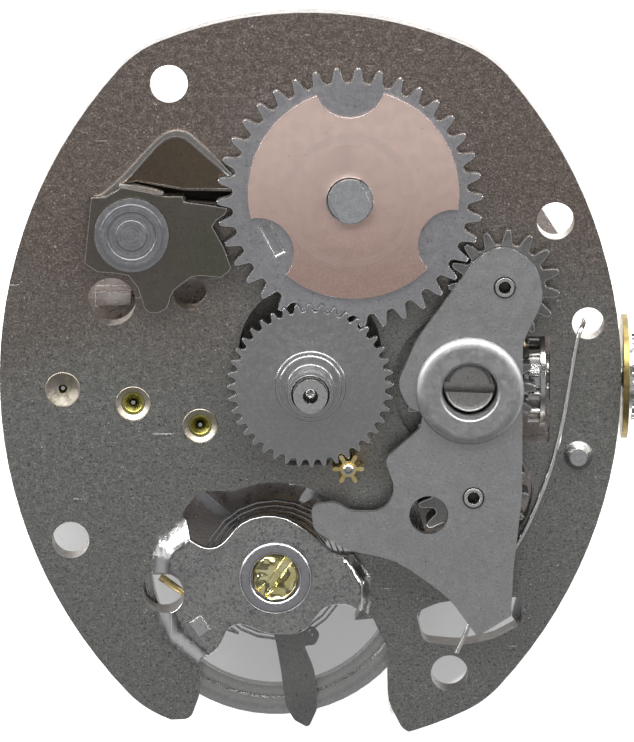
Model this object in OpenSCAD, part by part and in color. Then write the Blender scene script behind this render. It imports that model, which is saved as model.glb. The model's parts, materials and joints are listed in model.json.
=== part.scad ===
// Small tonneau wrist-watch movement, dial side up, hands and dial off.
// The origin is the hand axis on the dial face of the main plate. +Y is 12 o'clock, +X is the crown.

/* [Main plate] */
// Width of the main plate, 9 o'clock to 3 o'clock
plate_w = 15.3; // [15.2:0.05:15.5]
// Radius of the two long sides
side_r = 11.55; // [11.3:0.05:11.9]
// Height of the main plate above the hand axis
plate_up = 9.13; // [9.1:0.01:9.3]
// Depth of the main plate below the hand axis
plate_down = 9.26; // [9.2:0.01:9.4]
// Radius of the 12 o'clock end
top_r = 9.59; // [9.4:0.01:9.8]
// Radius of the 6 o'clock end
bottom_r = 8.91; // [8.8:0.01:9.1]
// Radius of the four shoulders
shoulder_r = 2.7; // [2:0.1:3.2]
// Thickness of the main plate
plate_t = 0.8; // [0.76:0.01:0.84]
// Radius of the four open holes for dial feet and casing
foot_hole_r = 0.46; // [0.4:0.01:0.5]

/* [Back plate] */
// Room between the two plates
plate_gap = 1.9; // [1.88:0.01:2]
// Thickness of the back plate
back_t = 0.6; // [0.55:0.01:0.7]
// Radius of the pillars
pillar_r = 0.35; // [0.3:0.01:0.38]
// Radius of the back plate screw heads
back_head_r = 0.48; // [0.44:0.01:0.52]
// Thickness of the balance cock
cock_t = 0.4; // [0.36:0.01:0.44]

/* [Keyless work] */
// Module of the winding and setting wheels
wind_m = 0.1634; // [0.162:0.0001:0.165]
// Thickness of the ratchet, transmission and crown wheels
wind_wheel_t = 0.28; // [0.24:0.01:0.3]
// Tip radius of the winding pinion
pinion_tip = 1.19; // [1.15:0.01:1.2]
// Radius of the winding stem
stem_r = 0.35; // [0.33:0.01:0.37]
// Travel of the stem from winding to setting
stem_travel = 0.45; // [0.4:0.01:0.46]
// Radius of the crown
crown_r = 1.1; // [0.9:0.05:1.3]
// Length of the crown
crown_len = 1.25; // [1:0.05:1.4]
// Thickness of the rocking bar
bar_t = 0.25; // [0.2:0.01:0.3]
// Radius of the collar that the rocking bar turns on
collar_r = 1.33; // [1.25:0.01:1.4]
// Thickness of the collar above the bar
collar_t = 0.24; // [0.2:0.01:0.3]
// Radius of the spring wire
wire_r = 0.055; // [0.045:0.005:0.065]

/* [Click] */
// Thickness of the click
click_t = 0.2; // [0.16:0.01:0.22]
// Thickness of the click spring
click_spring_t = 0.1; // [0.07:0.01:0.11]
// Radius of the head of the click stud
click_head_r = 0.92; // [0.85:0.01:1]
// Thickness of the head of the click stud
click_head_t = 0.16; // [0.12:0.01:0.2]

/* [Barrel] */
// Outer radius of the barrel drum
barrel_r = 3.95; // [3.85:0.01:4]
// Wall of the barrel drum
barrel_wall = 0.22; // [0.18:0.01:0.26]
// Thickness of the mainspring strip
mainspring_t = 0.12; // [0.1:0.01:0.14]

/* [Motion work] */
// Distance from the hand axis to the minute wheel
motion_d = 2.266; // [2.25:0.002:2.28]
// Outer radius of the hour wheel pipe, where the hour hand sits
hour_pipe_r = 0.57; // [0.55:0.01:0.6]
// Outer radius of the cannon pinion, where the minute hand sits
cannon_r = 0.415; // [0.4:0.005:0.43]
// Height of the cannon pinion above the main plate
cannon_top = 2; // [1.95:0.01:2.1]
// Height of the hour wheel pipe above the main plate
hour_top = 1.72; // [1.65:0.01:1.78]
// Thickness of the hour wheel
hour_t = 0.18; // [0.14:0.01:0.2]

/* [Balance] */
// Outer radius of the balance rim
rim_r = 3.82; // [3.7:0.01:3.84]
// Height of the balance rim
rim_h = 0.42; // [0.36:0.01:0.44]
// Height of the balance bridge above the main plate
bridge_rise = 0.3; // [0.26:0.01:0.34]
// Thickness of the balance bridge strap
bridge_t = 0.3; // [0.26:0.01:0.3]
// Outer radius of the upper bearing ring
bearing_ring_r = 0.9; // [0.85:0.01:0.95]
// Radius of the hairspring's outer coil
hair_r = 1.84; // [1.82:0.005:1.86]
// Pitch of the hairspring's coils
hair_pitch = 0.12; // [0.11:0.005:0.13]
// Thickness of the hairspring strip
hair_t = 0.03; // [0.02:0.005:0.035]
// Thickness of the regulator
regulator_t = 0.1; // [0.08:0.01:0.11]

/* [Fits] */
// Gap round a turning or sliding piece
run_gap = 0.03; // [0.02:0.005:0.04]
// Gap between flat faces that turn past each other
face_gap = 0.04; // [0.03:0.005:0.05]

/* [Hidden] */
$fn = 48;
CUT = 0.02;

function unit(v) = v / norm(v);

// Places seen from the dial side
ratchet_at = [0.963, 4.574];
rocking_at = [3.906, -0.1];
staff_at = [-0.866, -4.851];
click_at = [-4.37, 3.71];
lever_at = [6.6, -1.87];
minute_at = motion_d * unit([0.928, -2.067]);
fork_at = [-4.795, -1.387];
escape_at = [-6.1, -0.22];
fourth_at = [-4.37, -0.58];
third_at = [-2.72, -1.14];
foot_holes = [[-3.45, 7.38], [6.0, 3.99], [-5.93, -4.01], [3.45, -7.4]];
pillar_at = [[-4.6, 4.2], [5.6, 2.2], [3.7, -4.55], [-6.0, -2.3]];

// Tooth counts
ratchet_n = 38;
crown_wheel_n = 18;
transmission_n = 15;
setting_n = 15;
winding_n = 14;
hour_n = 40;
minute_pinion_n = 6;
cannon_n = 10;
minute_n = 18;
barrel_n = 64;
centre_pinion_n = 8;
centre_n = 48;
third_n = 45;
fourth_n = 60;
train_pinion_n = 6;
escape_n = 15;

// Tooth outlines, as [share of the pitch from the tooth's middle, share of the tooth's height]
ROUND_TOOTH = [[-0.42, 0], [-0.33, 0.08], [-0.27, 0.3], [-0.225, 0.5], [-0.17, 0.75], [-0.09, 0.97],
               [0.09, 0.97], [0.17, 0.75], [0.225, 0.5], [0.27, 0.3], [0.33, 0.08], [0.42, 0]];
TRAIN_TOOTH = [[-0.27, 0], [-0.13, 1], [0.13, 1], [0.27, 0]];
LEAF = [[-0.2, 0], [-0.17, 0.62], [-0.07, 0.96], [0.07, 0.96], [0.17, 0.62], [0.2, 0]];
CLUB_TOOTH = [[-0.08, 0], [0.02, 1], [0.16, 0.92], [0.3, 0]];

// Heights, dial face of the main plate at 0
plate_low = -plate_t;
back_high = plate_low - plate_gap;
back_low = back_high - back_t;
ratchet_z = 0.12;
wheel_top = ratchet_z + wind_wheel_t;
bar_z = wheel_top + face_gap;
bar_top = bar_z + bar_t;
collar_top = bar_top + run_gap + collar_t;
crown_wheel_z = -0.17;
recess_d = face_gap - crown_wheel_z;
stem_z = -1.2;
click_z = 0.16;
click_top = click_z + click_t;
stud_head_z = click_top + face_gap;
hour_z = 0.5;
motion_z = -0.58;
motion_t = 0.16;
pocket_top = motion_z + motion_t + 2 * face_gap;
cannon_floor = motion_z - 2 * face_gap;
rim_z = plate_low - 0.08 - rim_h;
escape_z = -1.95;
escape_t = 0.15;
fork_z = escape_z + escape_t + 0.1;
fork_t = 0.12;
roller_z = fork_z + fork_t + 0.08;
roller_t = 0.1;
hair_z = -0.38;
hair_h = 0.18;
regulator_z = -0.02 - regulator_t;
ring_top = bridge_rise + 0.3;
barrel_low = -2.2;
barrel_teeth_t = 0.25;
barrel_top = plate_low - 0.12;
cover_t = 0.1;
centre_wheel_z = -2.52;
third_wheel_z = -2.28;
fourth_wheel_z = -1.5;
train_t = 0.12;

function turned(v, a) = [v.x * cos(a) - v.y * sin(a), v.x * sin(a) + v.y * cos(a)];
function bearing_of(v) = atan2(v.y, v.x);
function pitch_r(n, m) = n * m / 2;

// Where two circles cross, on the left of the line from the first centre to the second
function crossing(a, ra, b, rb) =
    let (d = norm(b - a), along = (d * d + ra * ra - rb * rb) / (2 * d), off = sqrt(ra * ra - along * along))
    a + along * unit(b - a) + off * turned(unit(b - a), 90);

// Angle of a tooth on a wheel that meshes with another, whose tooth stands at phase
function meshed(phase, n, to_n, line) = line + 180 + (0.5 - (phase - line) * n / 360) * 360 / to_n;

function ring_points(n, root, tip, shape) =
    [for (i = [0:n - 1], p = shape) let (r = root + (tip - root) * p[1], a = (i + p[0]) * 360 / n) [r * cos(a), r * sin(a)]];

// One corner of an outline, [x, y, radius], as an arc between its two sides
function corner_arc(a, b, c) =
    let (p = [b.x, b.y], u = unit([a.x, a.y] - p), v = unit([c.x, c.y] - p), half = acos(u * v) / 2,
         reach = b.z / tan(half), mid = p + unit(u + v) * b.z / sin(half),
         from = bearing_of(p + u * reach - mid), turn = bearing_of(p + v * reach - mid) - from,
         swing = turn > 180 ? turn - 360 : turn < -180 ? turn + 360 : turn,
         steps = max(1, ceil(abs(swing) / 15)))
    b.z == 0 ? [p] : [for (i = [0:steps]) mid + b.z * [cos(from + swing * i / steps), sin(from + swing * i / steps)]];

function rounded(pts) =
    [for (i = [0:len(pts) - 1]) each corner_arc(pts[(i + len(pts) - 1) % len(pts)], pts[i], pts[(i + 1) % len(pts)])];

module sheet(pts, z, t) {
    translate([0, 0, z]) linear_extrude(t) polygon(rounded(pts));
}

module disc(r, z, t) {
    translate([0, 0, z]) cylinder(r = r, h = t);
}

module at(p) {
    translate([p.x, p.y, 0]) children();
}

module toothed(n, root, tip, shape, z, t, phase = 0) {
    rotate(phase) translate([0, 0, z]) linear_extrude(t) polygon(ring_points(n, root, tip, shape));
}

// A wound strip between two radii, thin in the plane and upright
module spiral_strip(inner, outer, turns, width, z, h, start = 0, step = 15) {
    last = ceil(turns * 360 / step);
    function run(i) = inner + (outer - inner) * i / last;
    function edge(i, side) = (run(i) + side * width / 2) * [cos(start + i * step), sin(start + i * step)];
    translate([0, 0, z]) linear_extrude(h)
        polygon(concat([for (i = [0:last]) edge(i, 1)], [for (i = [last:-1:0]) edge(i, -1)]));
}

// A slotted screw standing on its shank, head up
module slotted(head_r, head_t, shank_r, shank_l, slot_w, slot_a = 0) {
    difference() {
        union() {
            cylinder(r = head_r, h = head_t);
            translate([0, 0, -shank_l]) cylinder(r = shank_r, h = shank_l);
        }
        rotate(slot_a) translate([-head_r - CUT, -slot_w / 2, head_t / 2]) cube([2 * head_r + 2 * CUT, slot_w, head_t]);
    }
}

// Outlines and pitches that several pieces share
side_c = plate_w / 2 - side_r;
top_c = [-0.07, plate_up - top_r];
bottom_c = [-0.07, bottom_r - plate_down];
right_c = [side_c, 0];
left_c = [-side_c, 0];
upper_right = crossing(right_c, side_r - shoulder_r, top_c, top_r - shoulder_r);
upper_left = crossing(top_c, top_r - shoulder_r, left_c, side_r - shoulder_r);
lower_left = crossing(left_c, side_r - shoulder_r, bottom_c, bottom_r - shoulder_r);
lower_right = crossing(bottom_c, bottom_r - shoulder_r, right_c, side_r - shoulder_r);

// Arc about a centre from the bearing of one point to that of the next, anticlockwise
function arc_between(c, r, from, to) =
    let (a = bearing_of(from), b = bearing_of(to), end = b < a ? b + 360 : b, steps = ceil((end - a) / 3))
    [for (i = [0:steps]) c + r * [cos(a + (end - a) * i / steps), sin(a + (end - a) * i / steps)]];

plate_edge = concat(
    arc_between(right_c, side_r, lower_right - right_c, upper_right - right_c),
    arc_between(upper_right, shoulder_r, upper_right - right_c, upper_right - top_c),
    arc_between(top_c, top_r, upper_right - top_c, upper_left - top_c),
    arc_between(upper_left, shoulder_r, upper_left - top_c, upper_left - left_c),
    arc_between(left_c, side_r, upper_left - left_c, lower_left - left_c),
    arc_between(lower_left, shoulder_r, lower_left - left_c, lower_left - bottom_c),
    arc_between(bottom_c, bottom_r, lower_left - bottom_c, lower_right - bottom_c),
    arc_between(lower_right, shoulder_r, lower_right - bottom_c, lower_right - right_c));

// The rocking bar swings about the crown wheel's centre
bar_reach = (crown_wheel_n + transmission_n) * wind_m / 2;
transmission_at = crossing(ratchet_at, (ratchet_n + transmission_n) * wind_m / 2, rocking_at, bar_reach);
setting_at = rocking_at + bar_reach * turned([1, 0], bearing_of([0.101, -2.694]));
bar_swing = -10.4;
setting_engaged = rocking_at + turned(setting_at - rocking_at, bar_swing);
setting_r = pitch_r(setting_n, wind_m);
minute_m = 2 * motion_d / (minute_n + cannon_n);
hour_m = 2 * motion_d / (hour_n + minute_pinion_n);
tooth_h = wind_m;
centre_third = norm(third_at);
centre_m = 2 * centre_third / (centre_n + train_pinion_n);
third_m = 2 * norm(fourth_at - third_at) / (third_n + train_pinion_n);
fourth_m = 2 * norm(escape_at - fourth_at) / (fourth_n + train_pinion_n);
barrel_m = 2 * norm(ratchet_at) / (barrel_n + centre_pinion_n);

// Radii of arbors, bushes and posts
arbor_r = 0.1;
pivot_r = 0.05;
bush_r = 0.28;
sink_r = 0.446;
barrel_arbor_r = 0.6;
centre_arbor_r = 0.18;
minute_arbor_r = 0.15;
post_r = 0.27;
collar_hub_r = 0.85;
click_shank_r = 0.35;
lever_shank_r = 0.22;
recess_r = pitch_r(crown_wheel_n, wind_m) + tooth_h + 0.26;
opening_a = [-0.01, 0.72];
opening_a_r = 1.757;
balance_pocket_r = 2.3;
minute_pocket_r = pitch_r(minute_n, minute_m) + minute_m + 0.08;
setting_slot_r = setting_r + tooth_h + 0.08;
window = [[5.23, -1.53], [5.89, 1.12]];
flange_slot = [[2.61, -5.84, 0.15], [3.2, -5.58, 1], [5.2, -5.45, 0.08], [5.26, -6.12, 0.1], [4.6, -6.5, 1.2],
               [3.73, -6.7, 1.5], [2.8, -6.6, 0.25]];
bearing_tube_r = 0.42;
bearing_bore_r = 0.28;
lever_z = stem_z + 0.18;
lever_t = 0.16;
groove_r = stem_r - 0.2;
groove_x = [6.29, 6.61];
taper_hole = [-3.65, -5.31];
stud_block_at = [-2.74, -6.12];

// Balance bridge seen from above, pressed up out of the main plate
bridge_outline = [[-4.45, -4.3, 0.2], [-3.9, -3.75, 0.25], [-3.1, -3.38, 0.12], [-2.98, -3.95, 0.15], [-2.4, -4.3, 0.5],
                  [-1.7, -3.5, 0.8], [-0.85, -3.2, 1.2], [0.1, -3.85, 0.8], [0.62, -4.38, 0.8], [1.6, -4.3, 0.1],
                  [1.6, -6.0, 0.1], [0.95, -5.55, 0.7], [0.35, -5.6, 0.6], [-0.2, -6.35, 0.6], [-1.1, -6.32, 0.8],
                  [-1.95, -5.95, 0.4], [-2.3, -6.75, 0.7], [-2.79, -7.0, 0.2], [-2.74, -7.5, 0.15],
                  [-3.3, -7.1, 0.4], [-4.0, -6.2, 0.8], [-4.45, -5.9, 0.3]];
ramp_left = [-4.05, -3.45];
ramp_right = [1.05, 1.5];

module slab(z, t) {
    translate([0, 0, z]) linear_extrude(t) polygon(plate_edge);
}

module bridge_band() {
    intersection() {
        sheet(bridge_outline, -bridge_t, bridge_t + bridge_rise);
        rotate([90, 0, 0]) translate([0, 0, 3]) linear_extrude(5) polygon([
            [ramp_left[0] - 0.4, 0], [ramp_left[0], 0], [ramp_left[1], bridge_rise], [ramp_right[0], bridge_rise],
            [ramp_right[1], 0], [ramp_right[1] + 0.1, 0], [ramp_right[1] + 0.1, -bridge_t],
            [ramp_right[1], -bridge_t], [ramp_right[0], bridge_rise - bridge_t],
            [ramp_left[1], bridge_rise - bridge_t], [ramp_left[0], -bridge_t], [ramp_left[0] - 0.4, -bridge_t]]);
    }
}

// Room for the balance under the bridge, open at 6 o'clock between two horns
module balance_room() {
    at(staff_at) disc(balance_pocket_r, plate_low - CUT, plate_t + 2 * CUT);
    sheet([[-3.17, -4.4, 0], [-3.17, -3.3, 0.5], [-2.75, -2.77, 0.3], [-0.11, -2.77, 0.08], [-0.28, -3.1, 0.05],
           [-0.28, -4.4, 0]], plate_low - CUT, plate_t + 2 * CUT);
    sheet([[-2.76, -6.4, 0], [1.55, -6.0, 0], [1.9, -6.75, 0.3], [1.92, -8.1, 1], [2.3, -8.85, 0.4], [3.1, -9.1, 0],
           [3.1, -9.8, 0], [-3.7, -9.8, 0], [-3.7, -8.6, 0], [-2.98, -8.56, 0.25], [-2.74, -7.9, 0.8]],
          plate_low - CUT, plate_t + 2 * CUT);
    at(stud_block_at) disc(0.5, plate_low - CUT, plate_t + CUT - bridge_t + bridge_rise);
}

// Everything cut out of the main plate for the pieces that it holds
module main_plate_cuts() {
    for (p = foot_holes) at(p) disc(foot_hole_r, plate_low - CUT, plate_t + 2 * CUT);
    for (p = [escape_at, fourth_at, third_at]) at(p) {
        disc(bush_r, plate_low - CUT, plate_t + 2 * CUT);
        disc(sink_r, -0.12, 0.12 + CUT);
    }
    for (p = pillar_at) at(p) disc(pillar_r / 2, plate_low - CUT, 0.4 + CUT);
    at(ratchet_at) disc(barrel_arbor_r + run_gap, plate_low - CUT, plate_t + 2 * CUT);
    at(click_at) disc(click_shank_r, -0.6, 0.6 + CUT);
    at(lever_at) disc(lever_shank_r, plate_low - CUT, plate_t + 2 * CUT);
    at(minute_at) disc(minute_arbor_r + run_gap, plate_low - CUT, plate_t + 2 * CUT);
    at(minute_at) disc(minute_pocket_r, plate_low - CUT, pocket_top - plate_low + CUT);
    at(opening_a) disc(opening_a_r, cannon_floor, CUT - cannon_floor);
    disc(0.42, plate_low - CUT, plate_t);
    sheet([[-0.75, -1.6, 0.1], [0.45, -1.6, 0.1], [0.5, -2.1, 0.1], [-0.6, -2.12, 0.1]], pocket_top - CUT, plate_t);
    at(rocking_at) disc(recess_r, -recess_d, recess_d + CUT);
    at(rocking_at) disc(collar_hub_r / 2, plate_low - CUT, plate_t);
    at(setting_at) disc(setting_slot_r, plate_low - CUT, plate_t + 2 * CUT);
    at(setting_engaged) disc(setting_slot_r, plate_low - CUT, plate_t + 2 * CUT);
    sheet([for (p = [setting_at, setting_engaged], side = p == setting_at ? [90, -90] : [-90, 90])
              concat(p + setting_slot_r * turned(unit(setting_at - setting_engaged), side), [0])],
          plate_low - CUT, plate_t + 2 * CUT);
    translate([window[0].x, window[0].y, plate_low - CUT])
        cube([window[1].x - window[0].x, window[1].y - window[0].y, plate_t + 2 * CUT]);
    sheet(flange_slot, plate_low - CUT, plate_t + 2 * CUT);
    at([6.82, 1.44]) disc(0.396, plate_low - CUT, plate_t + 2 * CUT);
    at([-4.89, 1.98]) disc(0.594, plate_low - CUT, plate_t + 2 * CUT);
    at([-2.96, 2.19]) disc(0.41, plate_low - CUT, plate_t + 2 * CUT);
    at(taper_hole) disc(0.52, plate_low - CUT, plate_t + 2);
    at(staff_at) disc(bearing_tube_r, -0.5, 2);
    at(stud_block_at) rotate(-55) translate([-0.2, -0.16, -0.6]) cube([0.4, 0.32, 2]);
}

// Bearings for the winding stem under the main plate
module stem_lugs() {
    for (x = [[4.9, 5.16], [5.93, 6.2], [7.12, 7.5]])
        translate([x[0], rocking_at.y - 0.6, stem_z - 0.55]) cube([x[1] - x[0], 1.2, plate_low - stem_z + 0.55 + CUT]);
}

module stem_bores() {
    translate([5.5, rocking_at.y, stem_z]) rotate([0, 90, 0]) cylinder(r = stem_r + run_gap, h = 3);
    translate([4.5, rocking_at.y, stem_z]) rotate([0, 90, 0]) cylinder(r = 0.2 + run_gap, h = 1);
}

module main_plate() {
    color("dimgray") difference() {
        union() {
            difference() {
                union() {
                    slab(plate_low, plate_t);
                    difference() {
                        stem_lugs();
                        stem_bores();
                    }
                }
                balance_room();
            }
            bridge_band();
        }
        main_plate_cuts();
    }
}

// Bushes riveted in the main plate for the train's upper pivots
module train_bushes() {
    color("peru") for (p = [escape_at, fourth_at, third_at]) at(p) difference() {
        disc(bush_r, plate_low, plate_t - 0.12);
        disc(pivot_r + run_gap, plate_low - CUT, plate_t);
        translate([0, 0, -0.32]) cylinder(r1 = pivot_r, r2 = bush_r - 0.04, h = 0.32 - 0.12 + CUT);
    }
}

module centre_tube() {
    color("goldenrod") difference() {
        disc(0.42, plate_low, cannon_floor - plate_low);
        disc(centre_arbor_r + run_gap, plate_low - CUT, plate_t);
    }
}

cock_boss_r = 0.55;
back_outline = [[-6.75, -2.9, 0.5], [-6.85, 1.5, 1.5], [-5.6, 5.0, 1.5], [-3.0, 6.3, 1], [-1.6, 8.3, 0.8], [3.2, 8.3, 0.8],
                [5.2, 5.2, 0.8], [5.45, 4.35, 0.3], [6.45, 2.8, 0.4], [6.6, -1.0, 1.5], [6.4, -2.6, 0.8],
                [4.6, -5.0, 0.4], [3.0, -5.0, 0.4], [2.2, -3.9, 0.4], [0.5, -4.0, 0.3], [0.4, -4.8, 0.3],
                [-3.9, -4.9, 0.5], [-5.0, -3.6, 0.6]];
cock_screw_at = [1.2, -3.1];

// Plate at the back that carries the train's lower pivots
module back_plate() {
    color("gray") difference() {
        union() {
            sheet(back_outline, back_low, back_t);
            translate([-5.35, 1.55, back_high - CUT]) cube([0.9, 0.35, 0.9 + CUT]);
        }
        for (p = pillar_at) at(p) disc(pillar_r / 2, back_low - CUT, back_t + 2 * CUT);
        for (p = [escape_at, fourth_at, third_at, fork_at, [0, 0]]) at(p) disc(bush_r, back_low - CUT, back_t + 2 * CUT);
        at(ratchet_at) disc(0.3 + run_gap, back_low - CUT, back_t + 2 * CUT);
        at(cock_screw_at) disc(0.25, back_low - CUT, back_t + 2 * CUT);
        at(staff_at) disc(cock_boss_r + run_gap, back_low - CUT, back_t + 2 * CUT);
    }
}

module pillars() {
    color("silver") for (p = pillar_at) at(p) difference() {
        union() {
            disc(pillar_r, back_high, plate_gap);
            disc(pillar_r / 2, plate_low - CUT, 0.4 + CUT);
        }
        disc(pillar_r / 2, back_high - CUT, plate_gap / 2);
    }
}

module back_plate_screws() {
    color("lightsteelblue") for (p = pillar_at) at(p) translate([0, 0, back_low]) rotate([180, 0, 0])
        slotted(back_head_r, 0.3, pillar_r / 2, back_t + plate_gap / 2 - 0.1, 0.14, 30);
}

module back_bushes() {
    color("goldenrod") {
        for (p = [escape_at, fourth_at, third_at]) at(p) difference() {
            disc(bush_r, back_low, back_t);
            disc(pivot_r + run_gap, back_low - CUT, back_t + 2 * CUT);
        }
        difference() {
            disc(bush_r, back_low, back_t);
            disc(arbor_r + run_gap, back_low - CUT, back_t + 2 * CUT);
        }
    }
}

cock_outline = [[-0.35, -2.35, 0.4], [2.6, -2.35, 0.4], [2.6, -3.7, 0.4], [0.9, -3.8, 1], [-0.1, -4.3, 0.3],
                [-0.1, -5.35, 0.5], [-1.6, -5.35, 0.5], [-1.6, -4.3, 0.5]];
jewel_r = 0.3;

// Cock at the back that carries the balance's lower pivot
module balance_cock() {
    color("gray") difference() {
        union() {
            sheet(cock_outline, back_low - cock_t, cock_t);
            at(staff_at) disc(cock_boss_r, back_low, 0.4);
        }
        at(staff_at) disc(jewel_r, back_low - cock_t - CUT, cock_t + 0.5);
        at(cock_screw_at) disc(0.25, back_low - cock_t - CUT, cock_t + 2 * CUT);
    }
}

module balance_cock_screw() {
    color("lightsteelblue") at(cock_screw_at) translate([0, 0, back_low - cock_t]) rotate([180, 0, 0])
        slotted(0.45, 0.25, 0.25, cock_t + back_t - 0.1, 0.14, 60);
}

// Keyless work
module setting_lever_stud() {
    color("silver") at(lever_at) {
        disc(lever_shank_r, lever_z - 0.03, 0.33 - lever_z);
        disc(0.36, lever_z - 0.1, 0.07);
        cylinder(r1 = 0.37, r2 = lever_shank_r, h = 0.28);
    }
}

lever_outline = [[6.57, 0.02, 0.1], [6.33, 0.02, 0.1], [6.38, -0.3, 0.1], [6.36, -1.0, 0.3], [6.0, -1.9, 0.4],
                 [5.55, -4.2, 1], [5.0, -6.1, 0.13], [5.13, -6.36, 0.1], [5.32, -6.15, 0.13], [5.95, -4.3, 1],
                 [7.1, -2.3, 0.4], [7.05, -1.5, 0.4], [6.6, -1.1, 0.3], [6.52, -0.3, 0.1]];

module setting_lever() {
    color("darkgray") difference() {
        sheet(lever_outline, lever_z, lever_t);
        at(lever_at) disc(lever_shank_r + run_gap, lever_z - CUT, lever_t + 2 * CUT);
    }
}

// Stands its children on the stem's axis, their Z along +X from the given place
module on_stem(x) {
    translate([x, rocking_at.y, stem_z]) rotate([0, 90, 0]) children();
}

crown_x = 7.84;
square_w = 0.44;

module winding_stem() {
    color("silver") {
        on_stem(4.42) cylinder(r = 0.2, h = 0.8);
        on_stem(5.2) translate([-square_w / 2, -square_w / 2, 0]) cube([square_w, square_w, 0.7]);
        on_stem(5.85) cylinder(r = stem_r, h = groove_x[0] - 5.85);
        on_stem(groove_x[0] - CUT) cylinder(r = groove_r, h = groove_x[1] - groove_x[0] + 2 * CUT);
        on_stem(groove_x[1]) cylinder(r = stem_r, h = crown_x - groove_x[1]);
        on_stem(crown_x - CUT) cylinder(r = stem_r * 0.8, h = crown_len * 0.7);
    }
}

module crown() {
    color("gainsboro") on_stem(crown_x) difference() {
        union() {
            toothed(30, crown_r - 0.07, crown_r, TRAIN_TOOTH, 0.1, crown_len - 0.25);
            cylinder(r = crown_r - 0.07, h = 0.1);
            translate([0, 0, crown_len - 0.15]) cylinder(r1 = crown_r - 0.07, r2 = crown_r - 0.25, h = 0.15);
        }
        translate([0, 0, -CUT]) cylinder(r = stem_r * 0.8, h = crown_len * 0.7);
    }
}

module crown_washer() {
    color("darkkhaki") on_stem(crown_x - 0.14) difference() {
        cylinder(r = 1.55, h = 0.14);
        translate([0, 0, -CUT]) cylinder(r = stem_r, h = 0.2);
    }
}

pinion_x = [5.26, 5.38, 5.66, 5.79];

module winding_pinion() {
    color("silver") difference() {
        union() {
            on_stem(pinion_x[0]) cylinder(r = 0.98, h = pinion_x[1] - pinion_x[0]);
            on_stem(pinion_x[1]) toothed(winding_n, 0.86, pinion_tip, LEAF, 0, pinion_x[2] - pinion_x[1], 180 + 180 / winding_n);
            on_stem(pinion_x[2]) cylinder(r = pinion_tip + 0.07, h = pinion_x[3] - pinion_x[2]);
        }
        on_stem(pinion_x[0] - CUT) translate([-0.25, -0.25, 0]) cube([0.5, 0.5, 1]);
    }
}

crown_phase = 0;
transmission_phase = meshed(crown_phase, crown_wheel_n, transmission_n, bearing_of(transmission_at - rocking_at));
setting_phase = meshed(crown_phase, crown_wheel_n, setting_n, bearing_of(setting_at - rocking_at));
ratchet_phase = meshed(transmission_phase, transmission_n, ratchet_n, bearing_of(ratchet_at - transmission_at));
minute_phase = meshed(setting_phase + bar_swing, setting_n, minute_n, bearing_of(minute_at - setting_engaged));
cannon_phase = meshed(minute_phase, minute_n, cannon_n, bearing_of(-minute_at));
hour_phase = meshed(0, minute_pinion_n, hour_n, bearing_of(-minute_at));

// One wheel of the keyless work, with its round bore
module wind_wheel(place, n, bore, z, t, phase) {
    at(place) difference() {
        toothed(n, pitch_r(n, wind_m) - 1.3 * tooth_h, pitch_r(n, wind_m) + tooth_h, ROUND_TOOTH, z, t, phase);
        disc(bore, z - CUT, t + 2 * CUT);
    }
}

module crown_wheel() {
    color("silver")
        wind_wheel(rocking_at, crown_wheel_n, collar_hub_r + run_gap, crown_wheel_z, wheel_top - crown_wheel_z, crown_phase);
}

module transmission_wheel() {
    color("silver") wind_wheel(transmission_at, transmission_n, post_r + run_gap, ratchet_z, wind_wheel_t, transmission_phase);
}

module setting_wheel() {
    color("silver")
        wind_wheel(setting_at, setting_n, post_r + run_gap, motion_z, wheel_top - motion_z, setting_phase);
}

// Key slot beside the ratchet's hole
ratchet_slot_a = 207;
ratchet_slot_l = 0.86;
ratchet_slot_w = 0.27;

module ratchet_wheel() {
    color("lightslategray") difference() {
        wind_wheel(ratchet_at, ratchet_n, barrel_square_r, ratchet_z, wind_wheel_t, ratchet_phase);
        at(ratchet_at) rotate(ratchet_slot_a) translate([2, -ratchet_slot_l / 2, ratchet_z + wind_wheel_t / 2])
            cube([ratchet_slot_w, ratchet_slot_l, wind_wheel_t]);
    }
}

bar_outline = [[4.95, -5.775, 0.05], [5.0, -4.6, 1], [5.2, -2.8, 1], [5.2, 1.1, 0.6], [5.72, 2.2, 1], [5.55, 2.95, 0.75],
               [4.75, 3.62, 0.75], [4.0, 3.1, 0.8], [2.6, 1.15, 1.2], [2.12, 0.05, 0.55], [2.4, -0.52, 0.3], [2.76, -0.66, 0.2],
               [2.7, -1.06, 0.3], [1.82, -1.82, 0.25], [2.06, -2.5, 0.5], [1.95, -3.16, 0.55], [1.0, -3.15, 0.5],
               [0.6, -2.9, 0.4], [0.0, -2.98, 0.22], [0.08, -3.6, 0.3], [0.9, -4.12, 1.5], [2.1, -4.35, 2],
               [3.4, -5.3, 2], [4.12, -6.295, 0.05]];
flange_line = [[4.12, -6.295], [4.95, -5.775]];
flange_low = lever_z - 0.03;

module rocking_bar() {
    color("gray") difference() {
        union() {
            sheet(bar_outline, bar_z, bar_t);
            at(flange_line[0]) rotate(bearing_of(flange_line[1] - flange_line[0])) translate([0, 0, flange_low])
                cube([norm(flange_line[1] - flange_line[0]), bar_t, bar_top - flange_low]);
        }
        at(rocking_at) disc(collar_hub_r + run_gap, bar_z - CUT, bar_t + 2 * CUT);
        for (p = [transmission_at, setting_at]) at(p) disc(post_r, bar_z - CUT, bar_t + 2 * CUT);
        at([2.91, -3.23]) disc(0.48, bar_z - CUT, bar_t + 2 * CUT);
    }
}

module bar_posts() {
    color("silver") for (p = [[transmission_at, ratchet_z], [setting_at, motion_z]]) at(p[0]) difference() {
        union() {
            disc(post_r, p[1] - face_gap - 0.05, bar_top - p[1] + face_gap + 0.08);
            disc(post_r + 0.15, p[1] - face_gap - 0.05, 0.05);
        }
        disc(post_r / 2, bar_z, bar_t + 0.2);
    }
}

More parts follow.
